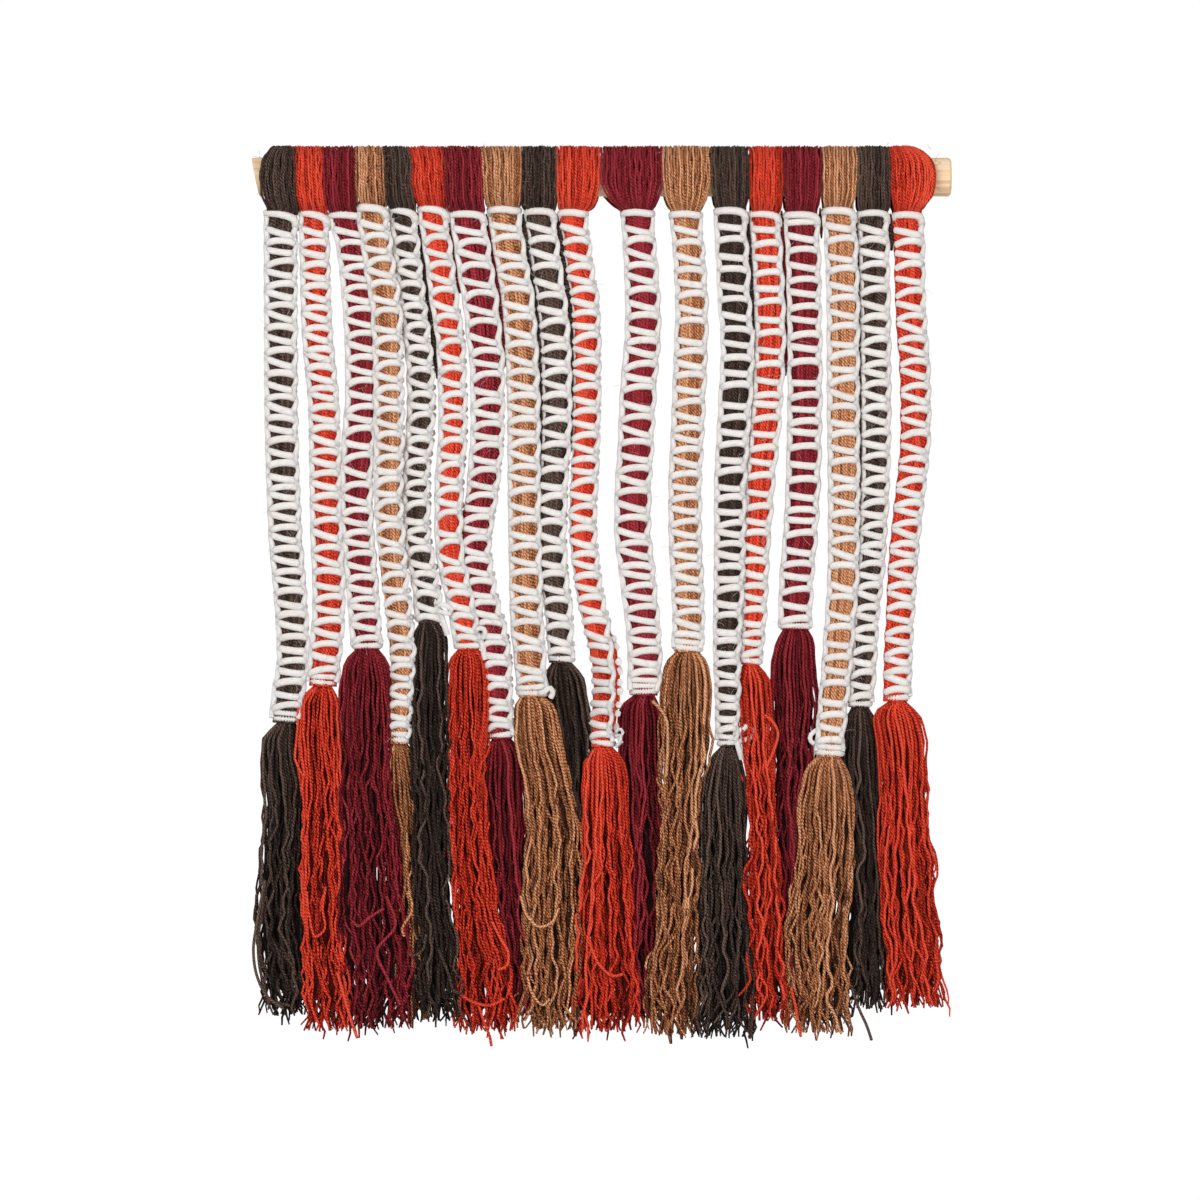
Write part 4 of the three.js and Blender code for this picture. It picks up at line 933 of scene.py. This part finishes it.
# Loose ends: yarns that hang out of their tassel, and the tied-off ends of white cord. Points in mm.
looseYarns = [
    (1, [(-219.5, -8, -460), (-224.5, -9, -487), (-227, -9, -506), (-224.5, -9, -523), (-218, -8, -536),
         (-207.5, -7, -544)]),
    (1, [(-220.5, -8, -474), (-224, -8, -500), (-222, -7, -522), (-215.5, -7, -539), (-203.5, -6, -542)]),
    (2, [(-192, -13, -467), (-190, -14.5, -483.5), (-185.5, -15, -496.5), (-181, -14.5, -493),
         (-181.5, -14, -477), (-179.5, -13, -464)]),
    (2, [(-172, -13, -520), (-166, -13.5, -541), (-161.5, -12, -556), (-159, -11, -563)]),
    (3, [(-140, -13, -470), (-134, -14, -489), (-146, -15, -506), (-139, -14.5, -524), (-131, -13, -541)]),
    (3, [(-141.5, -14, -478), (-151, -15, -484), (-159, -15, -489.5), (-162, -14.5, -486)]),
    (4, [(-126, -12, -467), (-123, -16, -475), (-124, -17, -482), (-127.5, -17, -487), (-129.5, -17, -492),
         (-128, -16.5, -496)]),
    (5, [(-114, -13, -495), (-117, -15, -506), (-121, -16, -508.5), (-125.5, -15.5, -508)]),
    (5, [(-106, -13, -505), (-99, -15, -522), (-95.5, -15.5, -532), (-90, -15, -534)]),
    (6, [(-71, -12, -487), (-65.5, -14, -498), (-60.5, -14, -507), (-62, -14, -516), (-67, -13, -518)]),
    (6, [(-91, -13, -535), (-81, -15, -540), (-72, -15.5, -541), (-63, -14, -537)]),
    (6, [(-80, -13, -541), (-76, -14, -553), (-72.5, -13, -562), (-71.5, -12, -568)]),
    (8, [(-52.5, -13, -470), (-48, -15.5, -483), (-40, -16.5, -490), (-32, -15.5, -487), (-27.5, -13, -478)]),
    (8, [(-48, -13, -523), (-44, -15.5, -535), (-37.5, -16, -541), (-33.5, -15.5, -537)]),
    (10, [(-8, -13, -500), (0, -15.5, -516), (8, -16, -522), (14, -14, -521)]),
    (12, [(33.5, -12.5, -343), (38.5, -14, -348), (42.5, -14, -355), (43.5, -13, -368), (42.5, -12, -392)]),
    (14, [(107, -10, -352), (112.5, -11, -357), (115.5, -11.5, -364), (113.5, -11, -373), (108, -10, -386)]),
    (14, [(124, -11, -530), (127.5, -12, -545), (129, -12, -556), (130.5, -11, -562)]),
    (17, [(163, -4, -528), (169, -5, -545), (174, -5, -556), (177, -5, -565)]),
    (9, [(-22, -4, -520), (-18.5, -5, -545), (-17, -5, -562)]),
]
looseCords = [
    (5, 2.0, [(-109.5, -3, -277), (-106, -4, -284), (-103, -4, -292), (-100.5, -3, -300)]),
    (5, 1.9, [(-108, -4, -281), (-103.5, -6, -280), (-99.5, -6, -281.5), (-97.5, -5, -284)]),
    (5, 1.7, [(-107, -5, -284), (-102, -6, -285.5), (-98.5, -5, -286)]),
    (6, 2.0, [(-84, -4, -296), (-80.5, -5, -300), (-77.5, -5, -307), (-76, -4, -316)]),
    (6, 1.7, [(-83, -5, -300), (-80, -7, -295.5), (-76.5, -7, -296), (-76, -6, -300.5), (-79.5, -5, -303)]),
    (8, 2.0, [(-41, -5, -338), (-37, -7, -337), (-33.5, -7, -334.5), (-31.5, -6, -337), (-33, -5, -341)]),
    (10, 1.1, [(10, -6, -363), (12.5, -8, -361), (14.5, -8, -364), (11.5, -7, -367), (13, -7, -371)]),
    (10, 1.1, [(9.5, -6, -366), (13, -8, -365.5), (12, -8, -370), (10, -7, -373), (14, -7, -369)]),
    (13, 2.1, [(88, -4, -366), (92, -6, -362), (96.5, -7, -359.5), (99, -7, -362.5), (97, -6, -367.5),
               (92, -5, -369), (87.5, -4, -371)]),
    (13, 2.0, [(87, -4, -360), (88.5, -6, -368), (90.5, -6, -376), (92, -5, -381)]),
    (16, 1.6, [(141, -5, -362), (137.5, -6, -364.5), (136.5, -6, -368), (139, -5, -371)]),
]
looseStep = 2.4  # mm between the points of their curves


def loosePaths(table, number, rng):
    # A row ends with its points. A cord's row has its radius before them.
    paths = []
    for row in table:
        if row[0] == number:
            radius = row[1] if len(row) == 3 else tasselSizes["yarn"]
            paths.append((through(row[-1], looseStep), radius, rng.uniform(0.4, 1), False))
    return paths


# Fine fibres that stray from the cord and the wool. Real ones are thinner, so these are few.
hairSizes = {"radius": 0.1, "length": (2.5, 6), "onCord": 70, "onWool": 40, "sides": 3}


def hairPaths(strand, count, rng, head):
    # They lie almost flat, over the front of the wool on the dowel or over the knotted cord.
    left, right = strand["head"][1]
    radius = hankSizes["dowelRadius"] + hankSizes["bulge"] + 0.6
    sideways = np.array([1, 0, 0])
    t = np.array([-0.2, 0.15, 0.55, 1])[:, None]
    paths = []
    for _ in range(count):
        u = math.sin(rng.uniform(-1, 1) * math.pi / 2)
        a = rng.uniform(-0.15, 0.36) * math.pi if head else 0
        outward, upward = np.array([0, -math.cos(a), math.sin(a)]), np.array([0, math.sin(a), math.cos(a)])
        if head:
            root = radius * outward + [(left + right) / 2 + u * (right - left) / 2, 0, 0]
        else:
            z = rng.uniform(strand["end"], strand["top"])
            root = place(strand, u * (halfWidth(strand, z) - 0.4), -3.5 - 4 * math.sqrt(1 - u * u), z)
        turn = rng.uniform(0, 2 * math.pi)
        ahead = math.cos(turn) * sideways + math.sin(turn) * upward + rng.uniform(0, 0.35) * outward
        beside = math.sin(turn) * sideways - math.cos(turn) * upward
        bent = ahead * t + rng.uniform(-0.6, 0.6) * beside * t**2
        points = root + rng.uniform(*hairSizes["length"]) * bent
        paths.append((points, hairSizes["radius"], rng.uniform(0.9, 1.5), False))
    return paths


for number, strand in enumerate(strands, 1):
    rng = np.random.default_rng(500 + number)
    tag = f"{number:02d}"
    strand["yarn"] = list(wool)[(number - 1) % len(wool)]
    rows = pairRows(strand, rng)
    hankGroups = [(hankSizes["sides"], headPaths(strand, rng)),
                  (hankSizes["sides"], corePaths(strand, rows, rng) + slitShadePaths(number, strand, rng)),
                  (hairSizes["sides"], hairPaths(strand, hairSizes["onWool"], rng, True))]
    hank = makePiece("hankYarn_" + tag, hankGroups, wool[strand["yarn"]])
    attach(hank, "root")
    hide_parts("hank_" + tag)
    fronts, backs = ([barPath(strand, row, lower, front, rng) for row in rows for lower in (False, True)]
                     for front in (-1, 1))
    cordGroups = [(knotSizes["sides"], fronts), (knotSizes["backSides"], backs),
                  (knotSizes["edgeSides"], edgePaths(strand, rows, rng)),
                  (wrapSizes["sides"], wrapPaths(strand, rng)),
                  (knotSizes["edgeSides"], loosePaths(looseCords, number, rng)),
                  (hairSizes["sides"], hairPaths(strand, hairSizes["onCord"], rng, False))]
    cord = makePiece("cordKnots_" + tag, cordGroups, cotton)
    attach(cord, "root")
    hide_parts("knotting_" + tag)
    tasselLow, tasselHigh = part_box("tassel_" + tag)
    layerY = (tasselLow[1] + tasselHigh[1]) / 2 / mm * tasselSizes["layerShare"]
    ends = tasselPaths(strand, layerY, rng) + tasselFillPaths(strand, layerY, rng)
    ends += loosePaths(looseYarns, number, rng)
    tassel = makePiece("tasselYarn_" + tag, [(tasselSizes["sides"], ends)], wool[strand["yarn"]])
    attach(tassel, "root")
    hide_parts("tassel_" + tag)
print("strands made:", sum(triangles.values()), "triangles, most in a piece", max(triangles.values()))

dowel = next(item for item in bpy.data.objects if item.name == "dowel")
dowel.data.materials.clear()
dowel.data.materials.append(pine)

# A pale floor well under the work, and soft light: a big key from the upper left, a fill and an even sky.
# These sizes and places are in metres.
floorSet = {"width": 3.4, "front": -2.2, "back": 1.1, "height": -0.86, "colour": "#f2f1ef", "roughness": 0.9}
lightSet = [("key", (-0.9, -2.3, 1.1), 1.5, 42), ("fill", (1.5, -2.2, 0.1), 1.6, 20)]
lightTarget = (0, 0, -0.28)
floorMesh = bpy.data.meshes.new("floor")
half, near, far = floorSet["width"] / 2, floorSet["front"], floorSet["back"]
corners = ((-half, near), (half, near), (half, far), (-half, far))
floorMesh.from_pydata([(x, y, floorSet["height"]) for x, y in corners], [], [(0, 1, 2, 3)])
floor = bpy.data.objects.new("floor", floorMesh)
scene.collection.objects.link(floor)
floorMaterial, _, floorSurface = newMaterial("matt floor paint", {"Roughness": floorSet["roughness"]})
floorSurface.inputs["Base Color"].default_value = toLinear(floorSet["colour"])
floorMesh.materials.append(floorMaterial)

for name, spot, size, power in lightSet:
    lamp = bpy.data.lights.new(name, "AREA")
    lamp.shape = "DISK"
    lamp.size = size
    lamp.energy = power
    aim(bpy.data.objects.new(name, lamp), spot, lightTarget)

# The ground behind the work shows pure white, as in a studio picture; the sky lights it more softly.
skySet = {"shown": 1.02, "light": 0.42}
world = bpy.data.worlds.new("studio")
world.use_nodes = True
scene.world = world
sky = world.node_tree
sky.nodes.clear()
path = addNode(sky, "ShaderNodeLightPath")
soft, shown = (addNode(sky, "ShaderNodeBackground", sockets={"Color": (1, 1, 1, 1), "Strength": skySet[key]})
               for key in ("light", "shown"))
either = addNode(sky, "ShaderNodeMixShader",
                 {0: path.outputs["Is Camera Ray"], 1: soft.outputs[0], 2: shown.outputs[0]})
addNode(sky, "ShaderNodeOutputWorld", {"Surface": either.outputs[0]})
print("floor, lights and sky made")
